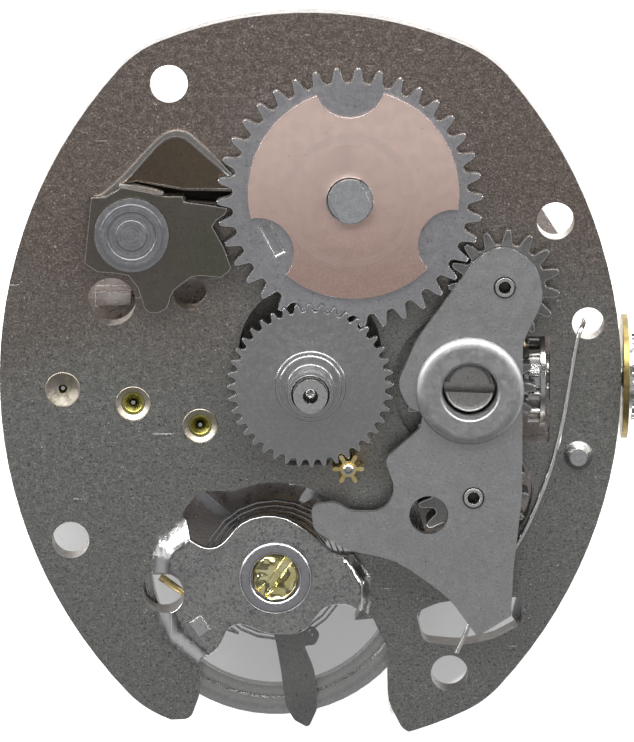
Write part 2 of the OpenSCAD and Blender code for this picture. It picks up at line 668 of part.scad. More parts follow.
// The bar's screw sits deep in its collar
screw_sink_r = 0.68;
screw_floor = 0.1 - recess_d;
bar_head_r = 0.587;
bar_head_t = 0.2;

module bar_collar() {
    color("darkgray") at(rocking_at) difference() {
        union() {
            disc(collar_hub_r, -recess_d, bar_top + run_gap + recess_d);
            disc(collar_r, bar_top + run_gap, collar_t / 3);
            translate([0, 0, bar_top + run_gap + collar_t / 3]) cylinder(r1 = collar_r, r2 = collar_r - 0.2, h = collar_t * 2 / 3);
        }
        disc(screw_sink_r, screw_floor, 2);
        disc(collar_hub_r / 2, -1, 3);
    }
}

module bar_screw() {
    color("lightsteelblue") at(rocking_at) translate([0, 0, screw_floor])
        slotted(bar_head_r, bar_head_t, collar_hub_r / 2, screw_floor + plate_t - 0.05, 0.2, -3);
}

spring_path = [[6.6, 1.14], [6.4, 0.02], [6.12, -0.89], [5.72, -2.23], [5.51, -2.9], [5.35, -3.37], [5.15, -3.86],
               [4.81, -4.56], [4.39, -5.4], [3.92, -6.12], [3.77, -6.54], [3.62, -6.85]];
spring_z = 0.12;

spring_foot = [[6.8, 1.37, -0.5], [6.64, 1.22, 0]];

// Round wire through a list of places, none of its runs upright
module wire(points, r, sides = 10) {
    last = len(points) - 1;
    function heading(i) = unit(points[min(i + 1, last)] - points[max(i - 1, 0)]);
    function across(i) = unit(cross(heading(i), [0, 0, 1]));
    function around(i, a) = points[i] + r * (cos(a) * across(i) + sin(a) * cross(across(i), heading(i)));
    rings = [for (i = [0:last], k = [0:sides - 1]) around(i, k * 360 / sides)];
    walls = [for (i = [0:last - 1], k = [0:sides - 1]) let (j = (k + 1) % sides)
        each [[i * sides + k, i * sides + j, (i + 1) * sides + j], [i * sides + k, (i + 1) * sides + j, (i + 1) * sides + k]]];
    caps = [for (k = [1:sides - 2]) each [[0, k + 1, k], [last * sides, last * sides + k, last * sides + k + 1]]];
    polyhedron(rings, concat(walls, caps));
}

module bar_spring() {
    color("lightgray") wire(concat(spring_foot, [for (p = spring_path) [p.x, p.y, spring_z]]), wire_r);
}

// Ratchet, click and barrel
washer_c = ratchet_at + [0.09, 0.15];
washer_r = 2.59;
barrel_square_r = 0.545;
washer_t = 0.08;
// Raised ring of the dished washer
dish_r = 1.45;
dish_t = 0.06;

module ratchet_spring_washer() {
    color("rosybrown") difference() {
        union() {
            at(washer_c) disc(washer_r, wheel_top, washer_t);
            at(ratchet_at) translate([0, 0, wheel_top + washer_t]) cylinder(r1 = dish_r + 0.2, r2 = dish_r, h = dish_t);
        }
        for (a = [92, -27, 212]) at(washer_c + 2.75 * [cos(a), sin(a)]) disc(0.87, wheel_top - CUT, washer_t + 2 * CUT);
        at(ratchet_at) disc(barrel_square_r + 0.03, wheel_top - CUT, washer_t + 0.2);
        at(ratchet_at) translate([0, 0, wheel_top + washer_t]) cylinder(r1 = barrel_square_r, r2 = dish_r, h = dish_t + CUT / 4);
    }
}

// Flats at the arbor's upper end
arbor_flat_a = 27;
arbor_flat_d = 0.434;

module barrel_arbor() {
    color("silver") at(ratchet_at) {
        disc(0.3, back_low, barrel_low + 0.16 - back_low);
        disc(0.9, barrel_low + 0.15, barrel_top - cover_t - 0.04 - barrel_low - 0.15);
        disc(barrel_arbor_r, barrel_top - cover_t - 0.06, ratchet_z - barrel_top + cover_t + 0.06);
        difference() {
            disc(barrel_square_r, ratchet_z - CUT, 0.55 + CUT);
            rotate(arbor_flat_a) for (s = [-1, 1]) translate([s * (arbor_flat_d + 0.3) - 0.3, -0.7, wheel_top]) cube([0.6, 1.4, 1]);
        }
    }
}

module barrel_drum() {
    color("goldenrod") at(ratchet_at) difference() {
        union() {
            disc(barrel_r, barrel_low, barrel_top - cover_t - barrel_low);
            toothed(barrel_n, pitch_r(barrel_n, barrel_m) - 1.1 * barrel_m, pitch_r(barrel_n, barrel_m) + 0.75 * barrel_m,
                    TRAIN_TOOTH, barrel_low, 0.25, 0);
        }
        disc(barrel_r - barrel_wall, barrel_low + 0.12, 2);
        disc(0.3 + run_gap, barrel_low - CUT, 1);
    }
}

module barrel_cover() {
    color("goldenrod") at(ratchet_at) difference() {
        disc(barrel_r, barrel_top - cover_t, cover_t);
        disc(barrel_arbor_r + run_gap, barrel_top - cover_t - CUT, cover_t + 2 * CUT);
    }
}

module mainspring() {
    color("steelblue") at(ratchet_at) spiral_strip(1.05, barrel_r - barrel_wall - 0.08, 8.5, mainspring_t, barrel_low + 0.17,
                                                   barrel_top - cover_t - 0.05 - barrel_low - 0.17);
}

click_outline = [[-5.34, 4.5, 0.3], [-4.94, 4.72, 0.3], [-4.66, 5.06, 0.12], [-4.35, 4.98, 0.5], [-3.58, 4.75, 1],
                 [-3.11, 4.53, 0.5], [-2.05, 4.38, 0.04], [-2.42, 3.95, 0.15], [-1.8, 2.93, 0.05], [-2.35, 2.65, 0.8],
                 [-3.03, 2.8, 0.1], [-3.35, 2.25, 0.4], [-3.6, 2.07, 0.2], [-3.78, 1.6, 0.17], [-4.02, 1.6, 0.17],
                 [-4.25, 2.15, 0.3], [-4.7, 2.83, 0.3], [-5.21, 2.85, 0.3], [-5.6, 3.0, 0.3], [-5.75, 3.8, 0.8]];

module click() {
    color("darkgray") difference() {
        sheet(click_outline, click_z, click_t);
        at(click_at) disc(click_shank_r + run_gap, click_z - CUT, click_t + 2 * CUT);
    }
}

module click_stud() {
    color("gainsboro") at(click_at) {
        disc(click_shank_r, -0.6, 0.6 + stud_head_z);
        disc(click_shank_r + 0.1, 0.1, click_z - face_gap / 2 - 0.1);
        disc(click_head_r, stud_head_z, click_head_t / 2);
        difference() {
            disc(0.77, stud_head_z, click_head_t);
            disc(0.59, stud_head_z + click_head_t - 0.04, 0.1);
        }
        disc(0.38, stud_head_z, click_head_t);
    }
}

module click_spring() {
    color("gray") difference() {
        sheet([[-4.95, 4.4, 0.1], [-5.0, 4.7, 0.15], [-4.51, 5.1, 1], [-3.9, 5.75, 1], [-3.25, 6.3, 0.85], [-2.5, 5.58, 1.5],
               [-1.85, 5.1, 0.15], [-1.95, 4.72, 0.1], [-3.3, 4.8, 2], [-4.3, 4.35, 0.3]], 0, click_spring_t);
        at([-3.25, 5.4]) disc(0.16, -CUT, click_spring_t + 2 * CUT);
    }
}

// Train
module train_wheel(place, n, m, z, t, bore, spokes, phase = 0, addendum = 0.2) {
    root = pitch_r(n, m) - 1.1 * m;
    at(place) difference() {
        toothed(n, root, pitch_r(n, m) + addendum * m, TRAIN_TOOTH, z, t, phase);
        disc(bore, z - CUT, t + 2 * CUT);
        difference() {
            disc(root * 0.84, z - CUT, t + 2 * CUT);
            disc(root * 0.34, z - 2 * CUT, t + 4 * CUT);
            for (i = [0:spokes - 1]) rotate(i * 360 / spokes) translate([0, -root * 0.07, z - 2 * CUT])
                cube([root, root * 0.14, t + 4 * CUT]);
        }
    }
}

// Arbor between the plates with its pinion
module train_arbor(place, n, m, z, t, phase, top, slim_from) {
    at(place) {
        disc(pivot_r, back_low + 0.1, top - back_low - 0.1);
        disc(arbor_r, back_high + face_gap, slim_from - back_high - face_gap);
        toothed(n, pitch_r(n, m) - 1.0 * m, pitch_r(n, m) + 0.5 * m, TRAIN_TOOTH, z, t, phase);
    }
}

// Depth of the centre arbor's end inside the cannon pinion
arbor_sink = 0.35;

module centre_pinion() {
    color("silver") {
        disc(arbor_r, back_low + 0.05, back_high - back_low);
        disc(centre_arbor_r, back_high + face_gap, cannon_top - arbor_sink - back_high - face_gap);
        toothed(centre_pinion_n, pitch_r(centre_pinion_n, barrel_m) - 1.0 * barrel_m,
                pitch_r(centre_pinion_n, barrel_m) + 0.5 * barrel_m, TRAIN_TOOTH, barrel_low - 0.1, 0.5,
                meshed(0, barrel_n, centre_pinion_n, bearing_of(-ratchet_at)));
    }
}

module centre_wheel() {
    color("goldenrod") train_wheel([0, 0], centre_n, centre_m, centre_wheel_z, train_t, centre_arbor_r, 4);
}

module third_pinion() {
    color("silver") train_arbor(third_at, train_pinion_n, centre_m, centre_wheel_z - 0.03, 0.18,
                                meshed(0, centre_n, train_pinion_n, bearing_of(third_at)), -0.2, -1.7);
}

module third_wheel() {
    color("goldenrod") train_wheel(third_at, third_n, third_m, third_wheel_z, train_t, arbor_r, 4);
}

module fourth_pinion() {
    color("silver") train_arbor(fourth_at, train_pinion_n, third_m, third_wheel_z - 0.03, 0.18,
                                meshed(0, third_n, train_pinion_n, bearing_of(fourth_at - third_at)), -0.2, plate_low - 0.1);
}

module fourth_wheel() {
    color("goldenrod") train_wheel(fourth_at, fourth_n, fourth_m, fourth_wheel_z, train_t, arbor_r, 4);
}

module escape_pinion() {
    color("silver") train_arbor(escape_at, train_pinion_n, fourth_m, fourth_wheel_z - 0.03, 0.18,
                                meshed(0, fourth_n, train_pinion_n, bearing_of(escape_at - fourth_at)), -0.2, plate_low - 0.1);
}

escape_r = 1.35;

module escape_wheel() {
    color("silver") at(escape_at) difference() {
        toothed(escape_n, escape_r - 0.3, escape_r, CLUB_TOOTH, escape_z, escape_t, 6);
        disc(arbor_r, escape_z - CUT, 1);
        difference() {
            disc(0.85, escape_z - CUT, 1);
            disc(0.35, escape_z - 2 * CUT, 1);
            for (i = [0:3]) rotate(i * 90) translate([0, -0.09, escape_z - 2 * CUT]) cube([1, 0.18, 1]);
        }
    }
}

// Lever of the escapement, on a post in the back plate
fork_post_r = 0.12;
fork_line = unit(staff_at - fork_at);
impulse_reach = 0.9;
fork_reach = norm(staff_at - fork_at) - impulse_reach + 0.15;
pallet_at = [for (a = [-31, 31]) escape_at + (escape_r + 0.04) * turned(unit(fork_at - escape_at), a)];

module fork_post() {
    color("silver") at(fork_at) {
        disc(0.25, back_low, fork_z - face_gap - back_low);
        disc(fork_post_r, back_low, fork_z + fork_t + face_gap - back_low);
        disc(fork_post_r + 0.07, fork_z + fork_t + face_gap - 0.01, 0.03);
    }
}

module pallet_fork() {
    color("darkgray") difference() {
        union() {
            at(fork_at) {
                disc(0.32, fork_z, fork_t);
                rotate(bearing_of(fork_line)) translate([0, -0.13, fork_z]) cube([fork_reach, 0.26, fork_t]);
                rotate(bearing_of(fork_line)) translate([fork_reach - 0.35, -0.22, fork_z]) cube([0.35, 0.44, fork_t]);
            }
            for (p = pallet_at) {
                at(fork_at) rotate(bearing_of(p - fork_at)) translate([0, -0.09, fork_z])
                    cube([norm(p - fork_at), 0.18, fork_t]);
                at(p) disc(0.13, fork_z, fork_t);
            }
        }
        at(fork_at) disc(fork_post_r + run_gap, fork_z - CUT, fork_t + 2 * CUT);
        for (p = pallet_at) at(p) disc(pivot_r, fork_z - CUT, fork_t + 2 * CUT);
        at(fork_at) rotate(bearing_of(fork_line)) translate([fork_reach - 0.27, -0.09, fork_z - CUT])
            cube([0.4, 0.18, fork_t + 2 * CUT]);
    }
}

module pallet_pins() {
    color("silver") for (p = pallet_at) at(p) disc(pivot_r, escape_z - 0.05, fork_z + fork_t - escape_z + 0.05);
}

// Balance and hairspring
rim_in = rim_r - 0.74;
arm_z = rim_z + 0.05;
arm_t = 0.15;
staff_r = 0.2;

module balance_wheel() {
    color("gray") at(staff_at) difference() {
        union() {
            difference() {
                disc(rim_r, rim_z, rim_h);
                disc(rim_r - 0.43, rim_z + rim_h - 0.12, 1);
                disc(rim_in, rim_z - CUT, rim_h + 2 * CUT);
            }
            translate([-rim_in - 0.2, -0.3, arm_z]) cube([2 * rim_in + 0.4, 0.6, arm_t]);
            disc(0.6, arm_z, arm_t);
        }
        disc(staff_r, rim_z - CUT, 2);
    }
}

module balance_staff() {
    color("silver") at(staff_at) {
        disc(staff_r, -2.9, 2.9 + hair_z + hair_h - 0.02);
        translate([0, 0, hair_z + hair_h - 0.02]) cylinder(r1 = staff_r * 0.7, r2 = pivot_r, h = 0.06);
        disc(pivot_r, -3.1, 3.1 - 0.1);
        disc(0.3, arm_z + arm_t, 0.12);
    }
}

module roller() {
    color("goldenrod") at(staff_at) difference() {
        disc(impulse_reach + 0.12, roller_z, roller_t);
        disc(staff_r, roller_z - CUT, 1);
        translate(-impulse_reach * [fork_line.x, fork_line.y, 0]) disc(0.06, roller_z - CUT, 1);
    }
}

module impulse_pin() {
    color("silver") at(staff_at - impulse_reach * fork_line) disc(0.06, fork_z - 0.03, roller_z + roller_t - fork_z + 0.03);
}

module hairspring_collet() {
    color("goldenrod") at(staff_at) difference() {
        disc(0.33, hair_z, hair_h - 0.01);
        disc(staff_r, hair_z - CUT, 1);
    }
}

hair_in = 0.36;
hair_turns = floor((hair_r - hair_in) / hair_pitch * 24) / 24;
hair_end = -120;
hair_out = staff_at + hair_r * [cos(hair_end), sin(hair_end)];

module hairspring() {
    color("lightslategray") {
        at(staff_at) spiral_strip(hair_in, hair_r, hair_turns, hair_t, hair_z, hair_h, hair_end - hair_turns * 360);
        at(hair_out) rotate(bearing_of(stud_block_at - hair_out)) translate([0, -hair_t / 2, hair_z])
            cube([norm(stud_block_at - hair_out), hair_t, hair_h]);
    }
}

// Block that holds the hairspring's outer end, through the bridge
module hairspring_stud() {
    color("dimgray") at(stud_block_at) rotate(-55) difference() {
        translate([-0.2, -0.16, -0.5]) cube([0.4, 0.32, bridge_rise + 0.58]);
        rotate(bearing_of(stud_block_at - hair_out) + 55) translate([-1, -hair_t / 2, hair_z]) cube([1.02, hair_t, hair_h]);
    }
}

module taper_pin() {
    color("goldenrod") translate([-3.72, -5.0, -0.28]) rotate([90, 0, 48]) rotate([0, 6, 0])
        cylinder(r1 = 0.1, r2 = 0.06, h = 1.25);
}

module bearing_ring() {
    color("silver") at(staff_at) difference() {
        union() {
            disc(bearing_ring_r, bridge_rise, ring_top - bridge_rise);
            disc(bearing_tube_r, regulator_z - 0.01, bridge_rise - regulator_z + 0.02);
            disc(bearing_tube_r + 0.13, regulator_z - 0.05, 0.04);
        }
        disc(0.61, bridge_rise + 0.05, 1);
        disc(bearing_bore_r, -0.1, 1);
        disc(pivot_r + run_gap, -0.5, 1);
        translate([0, 0, regulator_z - 0.06]) disc(staff_r * 0.7 + run_gap, 0, 0.06);
    }
}

module balance_screw_dial() {
    color("gold") at(staff_at) translate([0, 0, bridge_rise + 0.05])
        difference() {
            slotted(0.58, 0.2, bearing_bore_r, bridge_rise + 0.1, 0.14, -59);
            translate([0, 0, -bridge_rise - 0.2]) cylinder(r = pivot_r + run_gap, h = 0.25);
        }
}

module balance_screw_back() {
    color("gold") at(staff_at) translate([0, 0, back_low - cock_t]) rotate([180, 0, 0]) difference() {
        slotted(0.42, 0.15, jewel_r, cock_t + 0.35, 0.12, 20);
        translate([0, 0, -cock_t - 0.45]) cylinder(r = pivot_r + run_gap, h = 0.4);
    }
}

regulator_outline = [[-1.3, -5.3, 0.3], [-0.88, -6.5, 1], [-0.75, -7.24, 1], [-0.61, -8.25, 0.3], [-0.4, -8.6, 0.15],
                     [-0.05, -8.8, 0.1], [0.17, -8.3, 0.3], [0.1, -7.32, 1], [-0.16, -6.7, 0.05], [0.12, -6.68, 0.15],
                     [0.24, -6.4, 0.15], [0.05, -6.2, 0.1], [-0.14, -6.3, 0.05], [-0.3, -5.3, 0.3]];
curb_line = unit([0.06, -6.45] - staff_at);

module regulator() {
    color("dimgray") difference() {
        union() {
            at(staff_at) disc(0.75, regulator_z, regulator_t);
            sheet(regulator_outline, regulator_z, regulator_t);
        }
        at(staff_at) disc(bearing_tube_r + run_gap, regulator_z - CUT, 1);
        for (r = curb_reach) at(staff_at + r * curb_line) disc(curb_r, regulator_z - CUT, 1);
    }
}

curb_r = 0.025;
curb_coil = hair_r - hair_pitch * (bearing_of(-curb_line) + 180 - hair_end < 0 ? 0 : (hair_end + 360 - bearing_of(curb_line)) / 360 % 1);
curb_reach = [curb_coil - hair_pitch / 2, curb_coil + 0.07];

module curb_pins() {
    color("silver") for (r = curb_reach) at(staff_at + r * curb_line)
        disc(curb_r, hair_z, regulator_z + regulator_t - hair_z);
}

// Motion work
module cannon_pinion() {
    color("silver") difference() {
        union() {
            toothed(cannon_n, pitch_r(cannon_n, minute_m) - 1.2 * minute_m, pitch_r(cannon_n, minute_m) + 0.9 * minute_m,
                    ROUND_TOOTH, motion_z, motion_t, cannon_phase);
            disc(cannon_r + 0.015, motion_z, hour_top - 0.06 - motion_z);
            disc(cannon_r, motion_z, cannon_top - motion_z);
        }
        disc(centre_arbor_r + 0.005, motion_z - CUT, 4);
    }
}

module minute_wheel() {
    color("silver") at(minute_at) difference() {
        toothed(minute_n, pitch_r(minute_n, minute_m) - 1.2 * minute_m, pitch_r(minute_n, minute_m) + 0.9 * minute_m,
                ROUND_TOOTH, motion_z, motion_t, minute_phase);
        disc(minute_arbor_r, motion_z - CUT, 1);
    }
}

module minute_pinion() {
    color("goldenrod") at(minute_at) {
        disc(minute_arbor_r, motion_z, hour_z + 0.3 - motion_z);
        toothed(minute_pinion_n, pitch_r(minute_pinion_n, hour_m) - 0.85 * hour_m,
                pitch_r(minute_pinion_n, hour_m) + 1.1 * hour_m, LEAF, face_gap, hour_z + hour_t + 0.04 - face_gap, 0);
    }
}

module hour_wheel() {
    color("lightslategray") difference() {
        union() {
            toothed(hour_n, pitch_r(hour_n, hour_m) - 1.25 * hour_m, pitch_r(hour_n, hour_m) + 0.8 * hour_m,
                    ROUND_TOOTH, hour_z, hour_t, hour_phase);
            disc(0.87, hour_z, hour_t + 0.06);
            disc(0.77, hour_z, hour_t + 0.14);
            disc(hour_pipe_r, hour_z, hour_top - hour_z);
        }
        disc(cannon_r + 0.015 + run_gap, hour_z - CUT, 3);
    }
}

main_plate();
train_bushes();
centre_tube();
back_plate();
pillars();
back_plate_screws();
back_bushes();
balance_cock();
balance_cock_screw();
setting_lever_stud();
setting_lever();
winding_stem();
crown();
crown_washer();
winding_pinion();
crown_wheel();
transmission_wheel();
setting_wheel();
ratchet_wheel();
rocking_bar();
bar_posts();
bar_collar();
bar_screw();
bar_spring();
ratchet_spring_washer();
barrel_arbor();
barrel_drum();
barrel_cover();
mainspring();
click();
click_stud();
click_spring();
centre_pinion();
centre_wheel();
third_pinion();
third_wheel();
fourth_pinion();
fourth_wheel();
escape_pinion();
escape_wheel();
fork_post();
pallet_fork();
pallet_pins();
balance_wheel();
balance_staff();
roller();
impulse_pin();
hairspring_collet();
hairspring();
hairspring_stud();
taper_pin();
bearing_ring();
balance_screw_dial();
balance_screw_back();
regulator();
curb_pins();
cannon_pinion();
minute_wheel();
minute_pinion();
hour_wheel();
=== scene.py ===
"""Looks of a small tonneau wrist-watch movement, dial side up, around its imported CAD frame."""

import json
import math

import bpy
from mathutils import Matrix, Vector

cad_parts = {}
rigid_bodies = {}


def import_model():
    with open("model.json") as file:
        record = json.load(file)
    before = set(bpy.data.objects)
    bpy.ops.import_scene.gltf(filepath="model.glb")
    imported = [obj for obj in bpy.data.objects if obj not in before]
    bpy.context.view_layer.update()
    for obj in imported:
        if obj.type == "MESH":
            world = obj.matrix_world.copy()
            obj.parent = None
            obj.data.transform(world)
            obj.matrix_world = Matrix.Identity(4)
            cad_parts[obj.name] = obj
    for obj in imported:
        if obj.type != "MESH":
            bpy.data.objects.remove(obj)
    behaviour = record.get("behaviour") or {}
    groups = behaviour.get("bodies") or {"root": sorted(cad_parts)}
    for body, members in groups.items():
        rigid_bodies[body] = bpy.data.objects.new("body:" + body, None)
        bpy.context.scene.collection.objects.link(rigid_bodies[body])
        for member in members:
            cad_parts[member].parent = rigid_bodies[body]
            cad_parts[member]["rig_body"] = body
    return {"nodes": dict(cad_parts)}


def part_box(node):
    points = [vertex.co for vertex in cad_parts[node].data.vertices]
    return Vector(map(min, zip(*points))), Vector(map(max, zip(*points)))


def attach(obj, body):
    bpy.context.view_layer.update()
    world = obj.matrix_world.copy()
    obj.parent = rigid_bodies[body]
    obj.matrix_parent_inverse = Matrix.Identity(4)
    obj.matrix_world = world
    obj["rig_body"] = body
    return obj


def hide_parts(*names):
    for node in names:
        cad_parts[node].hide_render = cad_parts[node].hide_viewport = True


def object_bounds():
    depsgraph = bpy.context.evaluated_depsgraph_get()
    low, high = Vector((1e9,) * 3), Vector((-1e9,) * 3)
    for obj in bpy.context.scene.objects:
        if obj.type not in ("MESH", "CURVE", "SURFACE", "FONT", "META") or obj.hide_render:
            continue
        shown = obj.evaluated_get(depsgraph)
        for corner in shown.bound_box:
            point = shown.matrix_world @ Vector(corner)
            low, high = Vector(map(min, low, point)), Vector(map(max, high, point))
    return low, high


MM = 0.001

# Camera
TILT = math.radians(11)
LENS = 300
SENSOR_WIDTH = 36
CLIP_NEAR = 0.01
CLIP_FAR = 5
AIM = Vector((0.16, 0.25, 0)) * MM
CAMERA_AWAY = 152.1 * MM

# Studio, with lamps as (name, place, size, power), places and sizes in millimetres
LAMPS = (
    ("overhead_lamp", (0, -30, 150), (140, 140), 0.02),
    ("bar_lamp", (0, 60, 36), (170, 34), 0.2),
    ("left_lamp", (-66, 22, 30), (12, 60), 0.03),
    ("right_lamp", (66, 22, 30), (12, 60), 0.02),
)
ROOM_COLOUR = (0.95, 0.96, 1.0, 1)
HORIZON_LIGHT = 0.55
CEILING_LIGHT = 0.1
HORIZON_HEIGHT = 0.15
CEILING_HEIGHT = 0.65
FLOOR_SIDE = 1.2
FLOOR_PARALLAX = 0.55
FLOOR_GLOW = 0.75
FLOOR_GLOW_SHADED = 0.25
FLOOR_WHITE = (0.92, 0.92, 0.92)
FLOOR_SHADE = (0.42, 0.42, 0.42)
NOTCH_MIDDLE = -0.45
NOTCH_HALF_WIDTH = 2.35
BALANCE_RADIUS = 3.7

# Places on the dial side, in millimetres
RATCHET = (0.963, 4.574)
ROCKING = (3.906, -0.1)
STAFF = (-0.866, -4.851)
CLICK = (-4.37, 3.71)
LEVER = (6.6, -1.87)
MINUTE = (0.928, -2.067)
PLATE_HALF_WIDTH = 7.65
PLATE_HALF_LENGTH = 9.2

# Tones of the metals
# Edge tones: worn bright edges, their lightness partly a painted highlight
EDGE_TONE = (0.74, 0.73, 0.71)
LATHE_EDGE = (0.6, 0.6, 0.6)
COPPER_EDGE = (0.93, 0.80, 0.73)
NICKEL_GREENISH = (0.255, 0.26, 0.245)
NICKEL_BROWNISH = (0.20, 0.155, 0.13)
NICKEL_GRAIN = (0.58, 0.55, 0.51)
NICKEL_PORE = (0.13, 0.125, 0.12)
NICKEL_SPECK = (0.95, 0.93, 0.9)
NICKEL_PIT = (0.04, 0.035, 0.04)
NICKEL_SCRATCH = (0.6, 0.59, 0.56)
CUT_DARK = (0.42, 0.39, 0.36)
CUT_LIGHT = (0.56, 0.53, 0.49)
# Painted shade on the plate's outer wall
OUTER_WALL_PAINTED_SHADE = (0.17, 0.16, 0.15)
# Painted shade for the floor of the click's recess
RECESS_PAINTED_SHADE = (0.015, 0.013, 0.012)
STRAP_DARK = (0.33, 0.325, 0.32)
STRAP_LIGHT = (0.40, 0.395, 0.385)
STRAP_PORE = (0.19, 0.185, 0.185)
STRAP_GRAIN = (0.72, 0.71, 0.69)
STRAP_SPECK = (0.95, 0.94, 0.92)
STRAP_PIT = (0.08, 0.075, 0.08)
# Painted shade and painted light at the two ends of the copper washer's top-to-bottom gradient
COPPER_PAINTED_SHADE = (0.50, 0.345, 0.295)
COPPER_PAINTED_LIGHT = (0.87, 0.67, 0.60)
COPPER_GRAIN = (0.86, 0.69, 0.62)
COPPER_STAIN = (0.45, 0.31, 0.26)
COPPER_SPECK = (0.95, 0.88, 0.84)
COPPER_PIT = (0.12, 0.07, 0.06)

# Modelling, in millimetres and degrees
MERGE = 0.0002
CUT_MERGE = 0.0004
FLAT_ANGLE = 0.5
LATHE_SMOOTH = 40

# Pieces modelled here, in millimetres: outlines as (x, y), profiles as (radius, height)

# Click and its spring
CLICK_LOW = 0.16
CLICK_HIGH = 0.36
CLICK_EASE = 0.03
LIP_RISE = 0.03
CLICK_LIP = (
    (-4.666, 4.963), (-4.22, 4.938), (-3.725, 4.827), (-3.577, 4.765), (-3.601, 4.683), (-3.973, 4.728),
    (-4.418, 4.814), (-4.678, 4.876),
)
SPRING_HIGH = 0.12
SPRING_EASE = 0.04
SPRING_FIELD_HIGH = 0.04
SPRING_FIELD_EASE = 0.015
CLICK_OUTLINE = (
    (-5.366, 4.635), (-5.012, 4.645), (-4.765, 4.786), (-4.616, 4.885), (-4.072, 4.786), (-3.527, 4.662),
    (-3.106, 4.662), (-3.082, 4.526), (-2.587, 4.464), (-2.067, 4.387), (-2.017, 4.303), (-2.092, 4.192),
    (-2.29, 4.063), (-2.389, 3.907), (-2.116, 3.412), (-1.931, 2.905), (-1.968, 2.806), (-2.191, 2.63),
    (-2.71, 2.682), (-2.908, 2.645), (-3.106, 2.496), (-3.329, 2.323), (-3.413, 2.174), (-3.453, 2.001),
    (-3.527, 1.853), (-3.725, 1.754), (-3.948, 1.754), (-4.084, 1.877), (-4.146, 2.1), (-4.245, 2.397),
    (-4.468, 2.682), (-4.839, 2.744), (-5.218, 2.768), (-5.542, 2.991), (-5.458, 3.808),
)
SPRING_STRIP = (
    (-5.359, 4.588), (-5.111, 4.677), (-4.864, 4.887), (-4.493, 5.246), (-4.097, 5.692), (-3.75, 6.038),
    (-3.577, 6.174), (-3.428, 6.236), (-3.23, 6.261), (-3.032, 6.224), (-2.884, 6.125), (-2.537, 5.816),
    (-2.191, 5.494), (-1.918, 5.197), (-1.918, 5.023), (-2.24, 5.32), (-2.587, 5.618), (-2.933, 5.927),
    (-3.082, 6.038), (-3.23, 6.075), (-3.403, 6.063), (-3.552, 6.001), (-3.725, 5.853), (-4.022, 5.519),
    (-4.344, 5.147), (-4.715, 4.776), (-4.913, 4.627), (-5.111, 4.541),
)
SPRING_FIELD = (
    (-4.715, 4.81), (-4.344, 5.156), (-4.022, 5.528), (-3.725, 5.862), (-3.552, 5.998), (-3.403, 6.06),
    (-3.23, 6.072), (-3.082, 6.035), (-2.933, 5.924), (-2.587, 5.614), (-2.24, 5.317), (-1.918, 5.02),
    (-1.918, 4.785), (-2.364, 4.797), (-3.106, 4.797), (-3.725, 4.909), (-4.245, 4.995), (-4.517, 4.909),
)
CLICK_GAP = (
    (-4.567, 4.913), (-4.245, 4.963), (-3.725, 4.864), (-3.106, 4.752), (-1.918, 4.728), (-1.894, 4.381),
    (-2.587, 4.431), (-3.057, 4.48), (-3.106, 4.616), (-3.527, 4.629), (-4.072, 4.752), (-4.517, 4.827),
)
CLICK_GAP_FLOOR = -0.42
CLICK_GAP_OVER = 0.2

# Strap over the balance; its ends come down inside the two borders
STRAP_TOP = 0.3
STRAP_FOOT = 0.004
STRAP_EASE = 0.12
STRAP_BOX = (-4.5, 1.62)
STRAP_BACK = -3
STRAP_LEFT = (
    (-2.6, -2.9), (-3.18, -3.45), (-3.8, -3.95), (-4.0, -4.4), (-4.05, -5.2), (-3.92, -5.86),
    (-3.67, -6.55), (-2.7, -7.4), (-2.2, -8.0),
)
STRAP_RIGHT = ((1.2, -6.8), (1.43, -6.02), (1.56, -5.47), (1.53, -4.98), (1.25, -4.5), (0.95, -4.1))
STRAP_CUTS_X = (
    -4.2, -4.05, -3.9, -3.75, -3.6, -3.45, -3.3, -3.15, -3.0, -2.85, -2.6, -2.3, -2.0,
    0.6, 0.8, 0.9, 0.97, 1.04, 1.11, 1.18, 1.25, 1.32, 1.39, 1.46, 1.53,
)
STRAP_ROWS = 44
STRAP_FIRST_ROW = -3.2
STRAP_LENGTH = 4.4
STRAP_RAMP_LEFT = (-4.05, -3.45)
STRAP_RAMP_RIGHT = (1.05, 1.5)
STRAP_SHOULDER_LEFT = 0.62
STRAP_SHOULDER_RIGHT = 0.34

# Return wire of the rocking bar
WIRE_RADIUS = 0.062
WIRE_PATH = (
    (6.745, 1.447, -0.45), (6.72, 1.397, -0.2), (6.646, 1.316, 0.02), (6.584, 1.179, 0.08),
    (6.522, 0.907, 0.08), (6.448, 0.412, 0.08), (6.349, -0.207, 0.08), (6.2, -1.073, 0.08),
    (6.002, -1.94, 0.08), (5.78, -2.604, 0.1), (5.532, -3.219, 0.12), (5.285, -3.788, 0.12),
    (4.81, -4.56, 0.12), (4.39, -5.4, 0.12), (3.92, -6.12, 0.12), (3.77, -6.54, 0.12),
    (3.62, -6.85, 0.12),
)

